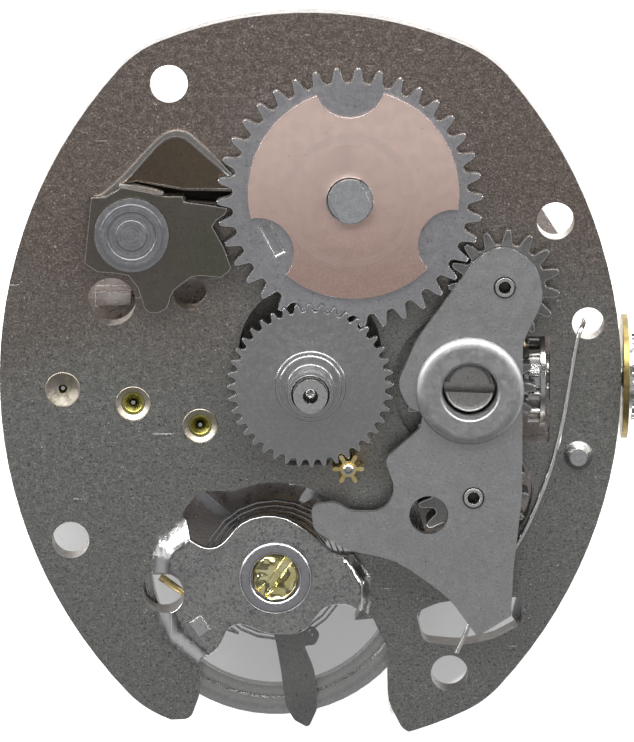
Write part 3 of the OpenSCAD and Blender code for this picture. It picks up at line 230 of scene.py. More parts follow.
# Collar, screws and bearing ring
COLLAR_PROFILE = (
    (0.425, -0.21), (0.85, -0.21), (0.85, 0.72), (1.33, 0.72), (1.33, 0.80), (1.315, 0.85),
    (1.28, 0.895), (1.225, 0.93), (1.15, 0.955), (1.08, 0.96), (0.76, 0.96), (0.72, 0.945),
    (0.69, 0.91), (0.68, 0.86), (0.68, -0.09), (0.66, -0.11), (0.425, -0.11),
)
GOLD_SCREW_PROFILE = (
    (0.14, 0.355), (0.57, 0.355), (0.6, 0.37), (0.6, 0.47), (0.54, 0.52), (0.42, 0.55),
    (0.2, 0.565), (0.03, 0.565),
)
GOLD_SLOT_FLOOR = 0.42
GOLD_SLOT_WIDTH = 0.2
GOLD_SLOT_TURN = math.radians(54)
GOLD_VOXEL = 0.014
CHEWED_SIZE = 0.42
CHEWED_DEPTH = 0.16
BAR_SCREW_PROFILE = (
    (0.3, -0.11), (0.6, -0.11), (0.62, -0.09), (0.62, 0.3), (0.6, 0.34), (0.55, 0.37),
    (0.45, 0.38), (0.02, 0.38),
)
BAR_SCREW_EASE = 0.05
BAR_SLOT_FLOOR = 0.05
BAR_SLOT_WIDTH = 0.23
BAR_SLOT_TURN = math.radians(-2)
SLOT_LENGTH = 2
RING_PROFILE = (
    (0.2, 0.3), (0.9, 0.3), (0.9, 0.53), (0.888, 0.57), (0.86, 0.592), (0.82, 0.6), (0.67, 0.6),
    (0.635, 0.592), (0.615, 0.57), (0.61, 0.352), (0.2, 0.352),
)

# Cups of the bushes, posts of the bar and pivot ends
DISH_PROFILE = (
    (0.11, -0.118), (0.44, -0.118), (0.44, -0.01), (0.425, 0.0), (0.39, -0.008), (0.25, -0.07),
    (0.11, -0.105),
)
CUP_PROFILE = ((0.29, -0.118), (0.44, -0.118), (0.44, -0.01), (0.425, 0.0), (0.39, -0.005), (0.29, -0.08))
BUSHES = {
    "escape_cup": ((-6.1, -0.22), DISH_PROFILE),
    "fourth_cup": ((-4.37, -0.58), CUP_PROFILE),
    "third_cup": ((-2.72, -1.14), CUP_PROFILE),
}
POST_PROFILE = (
    (0.13, 0.6), (0.25, 0.6), (0.25, 0.72), (0.235, 0.745), (0.2, 0.755), (0.155, 0.75), (0.13, 0.72),
)
POSTS = {"crown_post": (4.749, 2.461), "setting_post": (4.007, -2.794)}
PIVOT_ENDS = (
    ("arbor_end", "centre_pinion", (0, 0), 0.12),
    ("minute_pivot", "minute_pinion", MINUTE, 0.13),
)
PIVOT_DOME = ((1, -0.02), (1, 0.01), (0.8, 0.03), (0.4, 0.045))
PIVOT_TIP = (0.01, 0.05)

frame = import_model()
cad_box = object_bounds()


class Finish:
    """One procedural material, built up layer by layer on object coordinates in millimetres."""

    def __init__(self, name):
        self.material = bpy.data.materials.new(name)
        self.material.use_nodes = True
        self.nodes = self.material.node_tree.nodes
        self.links = self.material.node_tree.links
        self.shader = self.nodes["Principled BSDF"]
        self.place = self.nodes.new("ShaderNodeTexCoord").outputs["Object"]

    def mapped(self, scale=(1, 1, 1), centre=(0, 0, 0), turn=0.0):
        """Object coordinates in millimetres about a centre, stretched and turned."""
        node = self.nodes.new("ShaderNodeMapping")
        node.vector_type = "POINT"
        self.links.new(self.place, node.inputs["Vector"])
        node.inputs["Scale"].default_value = [s / MM for s in scale]
        node.inputs["Rotation"].default_value = (0, 0, turn)
        offset = Matrix.Rotation(turn, 3, "Z") @ Vector([c * s for c, s in zip(centre, scale)])
        node.inputs["Location"].default_value = -offset
        return node.outputs["Vector"]

    def noise(self, scale, detail=2.0, rough=0.5, vector=None):
        node = self.nodes.new("ShaderNodeTexNoise")
        self.links.new(vector or self.mapped(), node.inputs["Vector"])
        node.inputs["Scale"].default_value = scale
        node.inputs["Detail"].default_value = detail
        node.inputs["Roughness"].default_value = rough
        return node.outputs["Fac"]

    def cells(self, scale, vector=None):
        node = self.nodes.new("ShaderNodeTexVoronoi")
        self.links.new(vector or self.mapped(), node.inputs["Vector"])
        node.inputs["Scale"].default_value = scale
        return node.outputs["Distance"]

    def rings(self, scale, centre, wobble=0.3):
        """The rings that a lathe tool leaves about an upright axis."""
        node = self.nodes.new("ShaderNodeTexWave")
        node.wave_type = "RINGS"
        node.rings_direction = "Z"
        self.links.new(self.mapped(centre=(centre[0], centre[1], 0)), node.inputs["Vector"])
        node.inputs["Scale"].default_value = scale
        node.inputs["Distortion"].default_value = wobble
        node.inputs["Detail"].default_value = 1.0
        return node.outputs["Fac"]

    def ramp(self, value, low, high, to_low=0.0, to_high=1.0):
        """Smooth step of a value from low to high; with low over high it falls."""
        node = self.nodes.new("ShaderNodeMapRange")
        node.interpolation_type = "SMOOTHSTEP"
        self.links.new(value, node.inputs["Value"])
        node.inputs["From Min"].default_value = low
        node.inputs["From Max"].default_value = high
        node.inputs["To Min"].default_value = to_low
        node.inputs["To Max"].default_value = to_high
        return node.outputs["Result"]

    def math(self, operation, a, b=None):
        node = self.nodes.new("ShaderNodeMath")
        node.operation = operation
        for socket, value in zip(node.inputs, (a, b)):
            if isinstance(value, (int, float)):
                socket.default_value = value
            elif value is not None:
                self.links.new(value, socket)
        return node.outputs["Value"]

    def times(self, a, b):
        return self.math("MULTIPLY", a, b)

    def plus(self, a, b):
        return self.math("ADD", a, b)

    def blend(self, share, a, b):
        """Between two values, as share goes from 0 to 1."""
        rest = self.math("SUBTRACT", 1.0, share)
        return self.plus(self.times(rest, a), self.times(share, b))

    def mix(self, share, a, b):
        """Between two colours, as share goes from 0 to 1."""
        node = self.nodes.new("ShaderNodeMix")
        node.data_type = "RGBA"
        for name, value in (("Factor_Float", share), ("A_Color", a), ("B_Color", b)):
            socket = next(s for s in node.inputs if s.identifier == name)
            if isinstance(value, tuple):
                socket.default_value = (*value, 1)
            elif isinstance(value, (int, float)):
                socket.default_value = value
            else:
                self.links.new(value, socket)
        return next(s for s in node.outputs if s.identifier == "Result_Color")

    def along(self, axis):
        """The place on one axis, in millimetres."""
        node = self.nodes.new("ShaderNodeSeparateXYZ")
        self.links.new(self.mapped(), node.inputs["Vector"])
        return node.outputs[axis]

    def distance(self, centre):
        """Distance from an upright axis, in millimetres."""
        node = self.nodes.new("ShaderNodeSeparateXYZ")
        self.links.new(self.mapped(centre=(centre[0], centre[1], 0)), node.inputs["Vector"])
        square = [self.times(node.outputs[axis], node.outputs[axis]) for axis in ("X", "Y")]
        return self.math("SQRT", self.plus(*square))

    def oval(self, lowered=0.0):
        """0 at the hand axis and 1 along the plate's outline; lowered moves it towards 6 o'clock."""
        across = self.math("DIVIDE", self.along("X"), PLATE_HALF_WIDTH)
        along = self.math("DIVIDE", self.plus(self.along("Y"), lowered), PLATE_HALF_LENGTH)
        return self.plus(self.times(across, across), self.times(along, along))

    def upward(self):
        """How far a face looks to the dial side, 1 on flats and 0 on upright walls."""
        geometry = self.nodes.new("ShaderNodeNewGeometry")
        node = self.nodes.new("ShaderNodeSeparateXYZ")
        self.links.new(geometry.outputs["True Normal"], node.inputs["Vector"])
        return node.outputs["Z"]

    def facing_up(self):
        """1 on faces that look at the dial side, 0 on upright walls."""
        return self.ramp(self.upward(), 0.3, 0.8)

    def worn_and_highlit_edges(self):
        """1 on the narrow slopes of eased edges, 0 on flats and upright walls."""
        upward = self.upward()
        off_flat = self.ramp(upward, 0.975, 0.9)
        return self.times(off_flat, self.ramp(upward, 0.1, 0.35))

    def colour(self, value):
        """Keeps the body colour until the metal is closed."""
        self.body = value

    def roughness(self, value):
        """Keeps the roughness until the metal is closed."""
        self.gloss = value

    def bump(self, height, strength, depth):
        """Raises the surface by a height pattern; depth in millimetres."""
        node = self.nodes.new("ShaderNodeBump")
        node.inputs["Strength"].default_value = strength
        node.inputs["Distance"].default_value = depth * MM
        self.links.new(height, node.inputs["Height"])
        self.links.new(node.outputs["Normal"], self.shader.inputs["Normal"])

    def metal(self, edge=EDGE_TONE, edge_gloss=0.16):
        """Closes a metal; its edges are worn bright and made lighter still as a painted highlight, unless
        edge is None.
        """
        if edge is not None:
            # Wear and painted highlight: the eased edges get a lighter tone than the body
            worn_and_highlit = self.worn_and_highlit_edges()
            self.body = self.mix(worn_and_highlit, self.body, edge)
            self.gloss = self.blend(worn_and_highlit, self.gloss, edge_gloss)
        self.links.new(self.body, self.shader.inputs["Base Color"])
        self.links.new(self.gloss, self.shader.inputs["Roughness"])
        self.shader.inputs["Metallic"].default_value = 1.0
        return self.material


def specked(finish, base, speck, pit, density=0.12):
    """Bright dust specks and small dark pits over a base colour."""
    bright = finish.ramp(finish.cells(9.0), density, density * 0.45)
    sparse = finish.ramp(finish.noise(2.3, 2), 0.52, 0.62)
    with_specks = finish.mix(finish.times(bright, sparse), base, speck)
    dark = finish.ramp(finish.cells(5.2, finish.mapped(centre=(3.1, 1.7, 0.4))), 0.09, 0.03)
    some = finish.ramp(finish.noise(1.1), 0.5, 0.6)
    return finish.mix(finish.times(dark, some), with_specks, pit)


def scratches(finish, turn, width=0.5, seed=0.0):
    """Thin straight scratches, 0 to 1."""
    lines = finish.noise(7.0, 3, 0.6, finish.mapped((0.05, 1.6, 1), (seed, seed, 0), turn))
    gate = finish.ramp(finish.noise(0.9, 1, 0.5, finish.mapped(centre=(seed + 4, 2, 0))), 0.55, 0.7)
    return finish.times(finish.ramp(lines, 0.70, 0.70 + 0.06 * width), gate)


def brighter(colour, share):
    """The colour times a share, with no part of it over full."""
    return tuple(min(1, c * share) for c in colour)


def darker(colour, share):
    """The colour times a share under 1."""
    return tuple(c * share for c in colour)


def plate_face(finish, grain, marks):
    """Speckled nickel, greenish low on the left and brownish at the top."""
    drift = finish.noise(0.16, 2, 0.5)
    height = finish.ramp(finish.along("Y"), -5.0, 7.5)
    warm = finish.ramp(finish.plus(finish.times(height, 0.6), drift), 0.6, 1.1)
    body = finish.mix(warm, NICKEL_GREENISH, NICKEL_BROWNISH)
    body = finish.mix(finish.times(grain, 0.5), body, NICKEL_GRAIN)
    body = finish.mix(finish.ramp(finish.noise(13.0, 2, 0.7), 0.46, 0.3), body, NICKEL_PORE)
    body = specked(finish, body, NICKEL_SPECK, NICKEL_PIT, 0.16)
    return finish.mix(finish.times(marks, 0.5), body, NICKEL_SCRATCH)


def plate_walls(finish, face):
    """Lighter cut walls in the openings, a dark outer wall painted as shade, and a black floor in the click's
    recess painted as shade.
    """
    cut = finish.mix(finish.noise(3.0), CUT_DARK, CUT_LIGHT)
    # Painted shade: the plate's outer wall is darkened so that its lit side does not show bright
    walls = finish.mix(finish.ramp(finish.oval(), 0.88, 0.94), cut, OUTER_WALL_PAINTED_SHADE)
    body = finish.mix(finish.facing_up(), walls, face)
    # Painted shade: upward faces deep in the click's recess are mixed to near black
    sunk = finish.ramp(finish.along("Z"), -0.3, -0.38)
    over_floor = finish.ramp(finish.along("Z"), -0.7, -0.6)
    shaded_deep = finish.times(sunk, over_floor)
    return finish.mix(finish.times(shaded_deep, finish.facing_up()), body, RECESS_PAINTED_SHADE)


def polished_strap(finish, grain):
    """The brighter metal of the strap over the balance."""
    body = finish.mix(finish.ramp(finish.noise(1.6, 3), 0.35, 0.65), STRAP_DARK, STRAP_LIGHT)
    body = finish.mix(finish.ramp(finish.noise(11.0, 2, 0.7), 0.5, 0.32), body, STRAP_PORE)
    body = finish.mix(finish.times(grain, 0.5), body, STRAP_GRAIN)
    return specked(finish, body, STRAP_SPECK, STRAP_PIT, 0.14)


def plate_nickel():
    """Dark speckled nickel on the plate, polished on its raised strap."""
    finish = Finish("plate_nickel")
    grain = finish.ramp(finish.noise(19.0, 3, 0.8), 0.44, 0.66)
    marks = finish.math("MAXIMUM", scratches(finish, 0.5), scratches(finish, -0.9, 0.5, 5.0))
    body = plate_walls(finish, plate_face(finish, grain, marks))
    raised = finish.ramp(finish.along("Z"), 0.02, 0.07)
    finish.colour(finish.mix(raised, body, polished_strap(finish, grain)))
    matt = finish.ramp(finish.noise(6.0, 3), 0.3, 0.7, 0.3, 0.44)
    satin = finish.ramp(finish.noise(4.0, 3), 0.3, 0.7, 0.16, 0.26)
    finish.roughness(finish.blend(raised, matt, satin))
    grit = finish.plus(finish.noise(26.0, 3, 0.7), finish.times(marks, -0.6))
    smoother = finish.math("SUBTRACT", 1.0, finish.times(raised, 0.7))
    finish.bump(finish.times(grit, smoother), 0.7, 0.012)
    return finish.metal()


def satin_steel(name, dark, light, rough=0.34, grain_scale=17.0, depth=0.004):
    """Satin steel with fine grain and faint wear."""
    finish = Finish(name)
    body = finish.mix(finish.ramp(finish.noise(0.45, 2), 0.3, 0.7), dark, light)
    grain = finish.ramp(finish.noise(grain_scale, 3, 0.8), 0.42, 0.7)
    body = finish.mix(finish.times(grain, 0.35), body, brighter(light, 1.6))
    pores = finish.ramp(finish.noise(grain_scale * 0.8, 2, 0.7), 0.42, 0.28)
    body = finish.mix(finish.times(pores, 0.6), body, darker(dark, 0.4))
    body = specked(finish, body, brighter(light, 2.2), darker(dark, 0.3), 0.11)
    marks = scratches(finish, 0.9, 0.4, 2.0)
    finish.colour(finish.mix(finish.times(marks, 0.4), body, brighter(light, 1.8)))
    finish.roughness(finish.ramp(finish.noise(5.0, 3), 0.3, 0.7, rough - 0.04, rough + 0.05))
    finish.bump(finish.noise(grain_scale * 1.4, 4, 0.6), 0.4, depth)
    return finish.metal()


def turned_steel(name, dark, light, centre, scale=3.2, rough=0.3, depth=0.003, edge=LATHE_EDGE):
    """Steel with the rings that a lathe tool leaves about one axis."""
    finish = Finish(name)
    wide = finish.rings(scale, centre)
    fine = finish.rings(scale * 4.3, centre, 0.1)
    rings = finish.plus(finish.times(wide, 0.6), finish.times(fine, 0.4))
    grain = finish.ramp(finish.noise(12.0, 3), 0.45, 0.7)
    finish.colour(finish.mix(finish.times(grain, 0.25), finish.mix(rings, dark, light), brighter(light, 1.4)))
    finish.roughness(finish.ramp(finish.noise(6.0, 2), 0.3, 0.7, rough - 0.05, rough + 0.06))
    finish.bump(rings, 0.35, depth)
    return finish.metal(edge, 0.24)


def washer_copper():
    """Rose copper with stains and small marks, brighter at the top and browner below as painted light and
    shade of its dish.
    """
    finish = Finish("washer_copper")
    # Painted light and shade: the washer lighter towards the top and darker towards the bottom
    height = finish.ramp(finish.along("Y"), 2.2, 6.6)
    body = finish.mix(height, COPPER_PAINTED_SHADE, COPPER_PAINTED_LIGHT)
    grain = finish.ramp(finish.noise(17.0, 4, 0.75), 0.4, 0.7)
    body = finish.mix(finish.times(grain, 0.25), body, COPPER_GRAIN)
    stains = finish.ramp(finish.noise(2.6, 3, 0.6, finish.mapped(centre=(1, 7, 0))), 0.64, 0.72)
    body = finish.mix(finish.times(stains, 0.2), body, COPPER_STAIN)
    finish.colour(specked(finish, body, COPPER_SPECK, COPPER_PIT, 0.1))
    finish.roughness(finish.ramp(finish.noise(4.0, 2), 0.3, 0.7, 0.4, 0.43))
    finish.bump(finish.noise(18.0, 4, 0.6), 0.3, 0.002)
    return finish.metal(COPPER_EDGE, 0.2)


def brass(name, light, dark, rough=0.28):
    """Brass or gilt with cloudy tarnish and fine grain, its edges no brighter than its flats."""
    finish = Finish(name)
    body = finish.mix(finish.ramp(finish.noise(2.5, 3), 0.35, 0.65), light, dark)
    grain = finish.ramp(finish.noise(14.0, 3), 0.45, 0.7)
    finish.colour(finish.mix(finish.times(grain, 0.25), body, brighter(light, 1.3)))
    finish.roughness(finish.ramp(finish.noise(7.0, 2), 0.3, 0.7, rough - 0.05, rough + 0.1))
    finish.bump(finish.noise(12.0, 3), 0.4, 0.004)
    return finish.metal(None)


FINISHES = {
    "plate": plate_nickel(),
    "back": satin_steel("back_nickel", (0.54, 0.50, 0.5), (0.68, 0.62, 0.6), 0.3),
    "bar": satin_steel("bar_satin", (0.40, 0.40, 0.40), (0.43, 0.43, 0.43), 0.36, 20.0),
    "winding": satin_steel("winding_steel", (0.37, 0.365, 0.38), (0.41, 0.405, 0.42), 0.36),
    "dark_wheel": satin_steel("dark_wheel_steel", (0.2, 0.195, 0.19), (0.25, 0.245, 0.24), 0.34),
    # Painted shade: near-black steel on parts seen deep in holes and between the plates
    "shaded_steel": satin_steel("shaded_steel", (0.05, 0.048, 0.045), (0.07, 0.068, 0.065), 0.3),
    "small_steel": satin_steel("small_steel", (0.5, 0.5, 0.5), (0.62, 0.61, 0.6), 0.24),
    "click": satin_steel(
        "click_steel", (0.145, 0.145, 0.11), (0.175, 0.15, 0.135), 0.26, 22.0, 0.002),
    "click_spring": satin_steel(
        "click_spring_steel", (0.13, 0.10, 0.08), (0.16, 0.125, 0.09), 0.24, 22.0, 0.002),
    "wire": satin_steel("wire_steel", (0.66, 0.65, 0.63), (0.74, 0.73, 0.71), 0.42, 17.0, 0.001),
    # Painted highlight: the click's lit upper edge as a bright beige steel
    "lip": satin_steel("click_lip_painted_highlight", (0.42, 0.36, 0.31), (0.62, 0.54, 0.47), 0.3),
    "spring_strip": satin_steel("spring_strip_steel", (0.26, 0.24, 0.22), (0.32, 0.3, 0.28), 0.3),
    "regulator": satin_steel("regulator_steel", (0.19, 0.19, 0.19), (0.25, 0.25, 0.24), 0.33),
    "rim": turned_steel(
        "rim_nickel", (0.38, 0.38, 0.37), (0.5, 0.5, 0.49), STAFF, 1.3, 0.26, 0.012, (0.85, 0.84, 0.82)),
    "collar": turned_steel(
        "collar_steel", (0.31, 0.31, 0.31), (0.36, 0.36, 0.36), ROCKING, 6.0, 0.5, 0.002, None),
    "bar_screw": satin_steel("bar_screw_steel", (0.3, 0.29, 0.28), (0.38, 0.37, 0.36), 0.25),
    "stud": turned_steel(
        "stud_steel", (0.27, 0.27, 0.28), (0.36, 0.36, 0.37), CLICK, 3.4, 0.34, 0.006, None),
    "lever_stud": turned_steel("lever_stud_steel", (0.42, 0.42, 0.43), (0.6, 0.6, 0.6), LEVER),
    "hour": turned_steel(
        "hour_steel", (0.33, 0.33, 0.33), (0.38, 0.38, 0.38), (0, 0), 7.0, 0.33, 0.0015),
    "arbor": turned_steel("arbor_steel", (0.5, 0.51, 0.52), (0.58, 0.59, 0.6), RATCHET, 4.0),
    "ring": turned_steel("ring_steel", (0.38, 0.37, 0.39), (0.42, 0.41, 0.43), STAFF, 4.0),
    "copper": washer_copper(),
    "brass": brass("pinion_brass", (0.86, 0.70, 0.36), (0.68, 0.52, 0.22)),
    "olive_brass": brass("olive_brass", (0.46, 0.43, 0.14), (0.3, 0.27, 0.08)),
    "cup": brass("cup_brass", (0.40, 0.36, 0.31), (0.34, 0.31, 0.24), 0.42),
    "washer_brass": brass("washer_brass", (0.34, 0.26, 0.1), (0.2, 0.15, 0.06), 0.34),
    "train_brass": brass("train_brass", (0.62, 0.48, 0.24), (0.44, 0.33, 0.15)),
    "gold": brass("screw_gold", (1.0, 0.93, 0.55), (0.8, 0.7, 0.3), 0.16),
    "hairspring": satin_steel("hairspring_steel", (0.22, 0.22, 0.23), (0.42, 0.42, 0.43), 0.25),
    "blue": satin_steel("spring_blue", (0.1, 0.13, 0.25), (0.15, 0.2, 0.36), 0.25),
    "crown": satin_steel("crown_chrome", (0.74, 0.73, 0.70), (0.84, 0.83, 0.8), 0.18),
}

# The finish of each CAD node that keeps its shape, and how far its edges are eased, in millimetres
NODE_FINISH = {
    "main_plate": ("plate", 0.045),
    "train_bushes": ("olive_brass", 0.015),
    "centre_tube": ("train_brass", 0),
    "back_plate": ("back", 0.03),
    "pillars": ("small_steel", 0),
    "back_plate_screws": ("shaded_steel", 0.02),
    "back_bushes": ("train_brass", 0),
    "balance_cock": ("back", 0.03),
    "balance_cock_screw": ("small_steel", 0.02),
    "setting_lever_stud": ("lever_stud", 0.03),
    "setting_lever": ("winding", 0.02),
    "winding_stem": ("small_steel", 0.015),
    "crown": ("crown", 0.02),
    "crown_washer": ("washer_brass", 0.015),
    "winding_pinion": ("small_steel", 0.015),
    "crown_wheel": ("dark_wheel", 0.03),
    "transmission_wheel": ("dark_wheel", 0.03),
    "setting_wheel": ("dark_wheel", 0.03),
    "ratchet_wheel": ("winding", 0.04),
    "rocking_bar": ("bar", 0.05),
    "ratchet_spring_washer": ("copper", 0.012),
    "barrel_arbor": ("arbor", 0.025),
    "barrel_drum": ("train_brass", 0.02),
    "barrel_cover": ("train_brass", 0.02),
    "mainspring": ("blue", 0),
    "click_stud": ("stud", 0.02),
    "centre_pinion": ("shaded_steel", 0),
    "centre_wheel": ("train_brass", 0),
    "third_pinion": ("small_steel", 0),
    "third_wheel": ("train_brass", 0),
    "fourth_pinion": ("small_steel", 0),
    "fourth_wheel": ("train_brass", 0),
    "escape_pinion": ("small_steel", 0),
    "escape_wheel": ("small_steel", 0),
    "fork_post": ("small_steel", 0),
    "pallet_fork": ("winding", 0),
    "pallet_pins": ("small_steel", 0),
    "balance_wheel": ("rim", 0.02),
    "balance_staff": ("small_steel", 0),
    "roller": ("train_brass", 0),
    "impulse_pin": ("small_steel", 0),
    "hairspring_collet": ("train_brass", 0),
    "hairspring": ("hairspring", 0),
    "hairspring_stud": ("small_steel", 0.02),
    "taper_pin": ("brass", 0),
    "balance_screw_back": ("gold", 0.015),
    "regulator": ("regulator", 0.015),
    "curb_pins": ("small_steel", 0),
    "cannon_pinion": ("small_steel", 0.06),
    "minute_wheel": ("small_steel", 0.015),
    "minute_pinion": ("brass", 0.015),
    "hour_wheel": ("hour", 0.045),
}


def body_of(node):
    """The body that a CAD node rides on."""
    return frame["nodes"][node]["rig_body"]


def deselect_all():
    """Leaves edit mode and deselects every object."""
    if bpy.context.object is not None and bpy.context.object.mode != "OBJECT":
        bpy.ops.object.mode_set(mode="OBJECT")
    for obj in bpy.context.view_layer.objects:
        obj.select_set(False)


def active(piece):
    """Makes one piece the only one selected."""
    deselect_all()
    piece.select_set(True)
    bpy.context.view_layer.objects.active = piece


def edit_all(piece):
    """Opens a piece in edit mode with everything on it selected."""
    active(piece)
    bpy.context.scene.tool_settings.mesh_select_mode = (True, False, False)
    bpy.ops.object.mode_set(mode="EDIT")
    bpy.ops.mesh.select_all(action="SELECT")


def select_faces(piece, wanted):
    """Leaves the piece in edit mode with only the wanted faces selected."""
    active(piece)
    bpy.ops.object.mode_set(mode="EDIT")
    bpy.ops.mesh.select_mode(type="FACE")
    bpy.ops.mesh.select_all(action="DESELECT")
    bpy.ops.object.mode_set(mode="OBJECT")
    for face in piece.data.polygons:
        face.select = wanted(face)
    bpy.ops.object.mode_set(mode="EDIT")


def applied(piece, kind, **settings):
    """Adds one modifier and applies it."""
    modifier = piece.modifiers.new(kind.lower(), kind)
    for name, value in settings.items():
        setattr(modifier, name, value)
    active(piece)
    bpy.ops.object.modifier_apply(modifier=modifier.name)


def to_metres(piece):
    """Brings a piece modelled in millimetres to metres, with its object at the origin."""
    piece.data.transform(Matrix.Scale(MM, 4) @ piece.matrix_world)
    piece.matrix_world = Matrix.Identity(4)


def finished(piece, finish, body, smooth=30):
    """Gives a piece its material and smoothing, puts it in metres and lets it ride on its body."""
    active(piece)
    piece.data.materials.clear()
    piece.data.materials.append(FINISHES[finish])
    bpy.ops.object.shade_smooth_by_angle(angle=math.radians(smooth))
    applied(piece, "WEIGHTED_NORMAL", weight=100, keep_sharp=True)
    to_metres(piece)
    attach(piece, body)


def merged_copy(node, name):
    """A CAD node's shape as one closed mesh with whole faces, in millimetres."""
    piece = bpy.data.objects.new(name, frame["nodes"][node].data.copy())
    bpy.context.scene.collection.objects.link(piece)
    piece.data.transform(Matrix.Scale(1 / MM, 4))
    for attribute in [a.name for a in piece.data.attributes if "normal" in a.name]:
        piece.data.attributes.remove(piece.data.attributes[attribute])
    edit_all(piece)
    bpy.ops.mesh.remove_doubles(threshold=MERGE)
    bpy.ops.mesh.customdata_custom_splitnormals_clear()
    bpy.ops.mesh.dissolve_limited(angle_limit=math.radians(FLAT_ANGLE))
    bpy.ops.object.mode_set(mode="OBJECT")
    return piece


def inside(distance, width):
    """Smooth rise from 0 to 1 over a width."""
    share = max(0.0, min(1.0, distance / width))
    return share * share * (3 - 2 * share)


def reach_inside(x, y, border):
    """How far a point lies to the left of a border of (x, y) corners, seen along it."""
    best = math.inf
    for (ax, ay), (bx, by) in zip(border, border[1:]):
        dx, dy = bx - ax, by - ay
        share = max(0.0, min(1.0, ((x - ax) * dx + (y - ay) * dy) / (dx * dx + dy * dy)))
        gap = math.hypot(x - ax - share * dx, y - ay - share * dy)
        if gap < abs(best):
            best = gap if dx * (y - ay) - dy * (x - ax) > 0 else -gap
    return best


def on_strap(face):
    """Whether a face belongs to the strap's upper side."""
    x, y, z = face.center
    return face.normal.z > 0.2 and z > STRAP_FOOT and STRAP_BOX[0] < x < STRAP_BOX[1] and y < STRAP_BACK


def cut_strap(piece, place, normal):
    """Cuts the strap's upper side along one plane, so that it can bend there."""
    select_faces(piece, on_strap)
    bpy.ops.mesh.bisect(plane_co=place, plane_no=normal, threshold=CUT_MERGE)


def swell_strap(piece):
    """Bends both ends of the strap down to the plate in round shoulders."""
    select_faces(piece, on_strap)
    bpy.ops.mesh.quads_convert_to_tris()
    for x in STRAP_CUTS_X:
        cut_strap(piece, (x, 0, 0), (1, 0, 0))
    for row in range(STRAP_ROWS):
        cut_strap(piece, (0, STRAP_FIRST_ROW - row * (STRAP_LENGTH / STRAP_ROWS), 0), (0, 1, 0))
    select_faces(piece, on_strap)
    bpy.ops.mesh.quads_convert_to_tris()
    bpy.ops.object.mode_set(mode="OBJECT")
    corners = {v for face in piece.data.polygons if on_strap(face) for v in face.vertices}
    for index in corners:
        spot = piece.data.vertices[index].co
        if spot.z < STRAP_FOOT:
            continue
        ramp = min(1, (spot.x - STRAP_RAMP_LEFT[0]) / (STRAP_RAMP_LEFT[1] - STRAP_RAMP_LEFT[0]),
                   (STRAP_RAMP_RIGHT[1] - spot.x) / (STRAP_RAMP_RIGHT[1] - STRAP_RAMP_RIGHT[0]))
        left = inside(reach_inside(spot.x, spot.y, STRAP_LEFT), STRAP_SHOULDER_LEFT)
        right = inside(reach_inside(spot.x, spot.y, STRAP_RIGHT), STRAP_SHOULDER_RIGHT)
        spot.z = max(STRAP_FOOT, min(STRAP_TOP, spot.z / max(0.02, ramp)) * left * right)


def round_strap(piece):
    """Rounds the upper outline of the strap over the balance, wider than the other edges."""
    active(piece)
    bpy.ops.object.mode_set(mode="EDIT")
    bpy.ops.mesh.select_all(action="DESELECT")
    bpy.ops.object.mode_set(mode="OBJECT")
    mesh = piece.data
    top = STRAP_TOP - 0.02
    on_top = {}
    for face in mesh.polygons:
        for key in face.edge_keys:
            on_top.setdefault(key, []).append(face.normal.z > 0.9 and face.center.z > top)
    for edge in mesh.edges:
        sides = on_top[edge.key]
        high = all(mesh.vertices[v].co.z > top for v in edge.vertices)
        edge.select = high and len(sides) == 2 and sides[0] != sides[1]
    bpy.ops.object.mode_set(mode="EDIT")
    bpy.ops.mesh.select_mode(type="EDGE")
    bpy.ops.mesh.bevel(offset=STRAP_EASE, segments=4, profile=0.5, clamp_overlap=True)
    bpy.ops.object.mode_set(mode="OBJECT")


def eased(node, finish, width):
    """The node again with its edges eased, as tumbled and polished metal has."""
    piece = merged_copy(node, node + "_eased")
    if node == "main_plate":
        minus(piece, cut_sheet("click_recess", CLICK_GAP, CLICK_GAP_FLOOR, CLICK_GAP_OVER))
        round_strap(piece)
        swell_strap(piece)
    eased_edges(piece, width)
    finished(piece, finish, body_of(node))
    standing_for(node)


def standing_for(node):
    """Hides the CAD node that a modelled piece stands in for."""
    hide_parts(node)


def turned(name, centre, profile, closed=True, sides=72):
    """A lathe-turned piece; profile is its run of (radius, height) from the inner foot outwards and up."""
    deselect_all()
    radius, height = profile[0]
    bpy.ops.mesh.primitive_circle_add(vertices=sides, radius=radius, location=(*centre, height))
    piece = bpy.context.object
    piece.name = name
    edit_all(piece)
    for wide, high in [*profile[1:], profile[0]] if closed else profile[1:]:
        bpy.ops.mesh.extrude_region_move(TRANSFORM_OT_translate={"value": (0, 0, high - height)})
        bpy.ops.transform.resize(value=(wide / radius, wide / radius, 1), center_override=(*centre, high))
        radius, height = wide, high
    bpy.ops.mesh.select_all(action="SELECT")
    bpy.ops.mesh.remove_doubles(threshold=MERGE)
    bpy.ops.mesh.fill_holes(sides=0)
    bpy.ops.mesh.normals_make_consistent(inside=False)
    bpy.ops.object.mode_set(mode="OBJECT")
    return piece


def cut_sheet(name, outline, low, high):
    """A sheet sawn to an outline of (x, y) corners."""
    deselect_all()
    bpy.ops.mesh.primitive_circle_add(vertices=len(outline), radius=1, location=(0, 0, low))
    piece = bpy.context.object
    piece.name = name
    for vertex, (x, y) in zip(piece.data.vertices, outline):
        vertex.co = (x, y, 0)
    edit_all(piece)
    bpy.ops.mesh.edge_face_add()
    bpy.ops.mesh.extrude_region_move(TRANSFORM_OT_translate={"value": (0, 0, high - low)})
    bpy.ops.mesh.select_all(action="SELECT")
    bpy.ops.mesh.normals_make_consistent(inside=False)
    bpy.ops.object.mode_set(mode="OBJECT")
    return piece


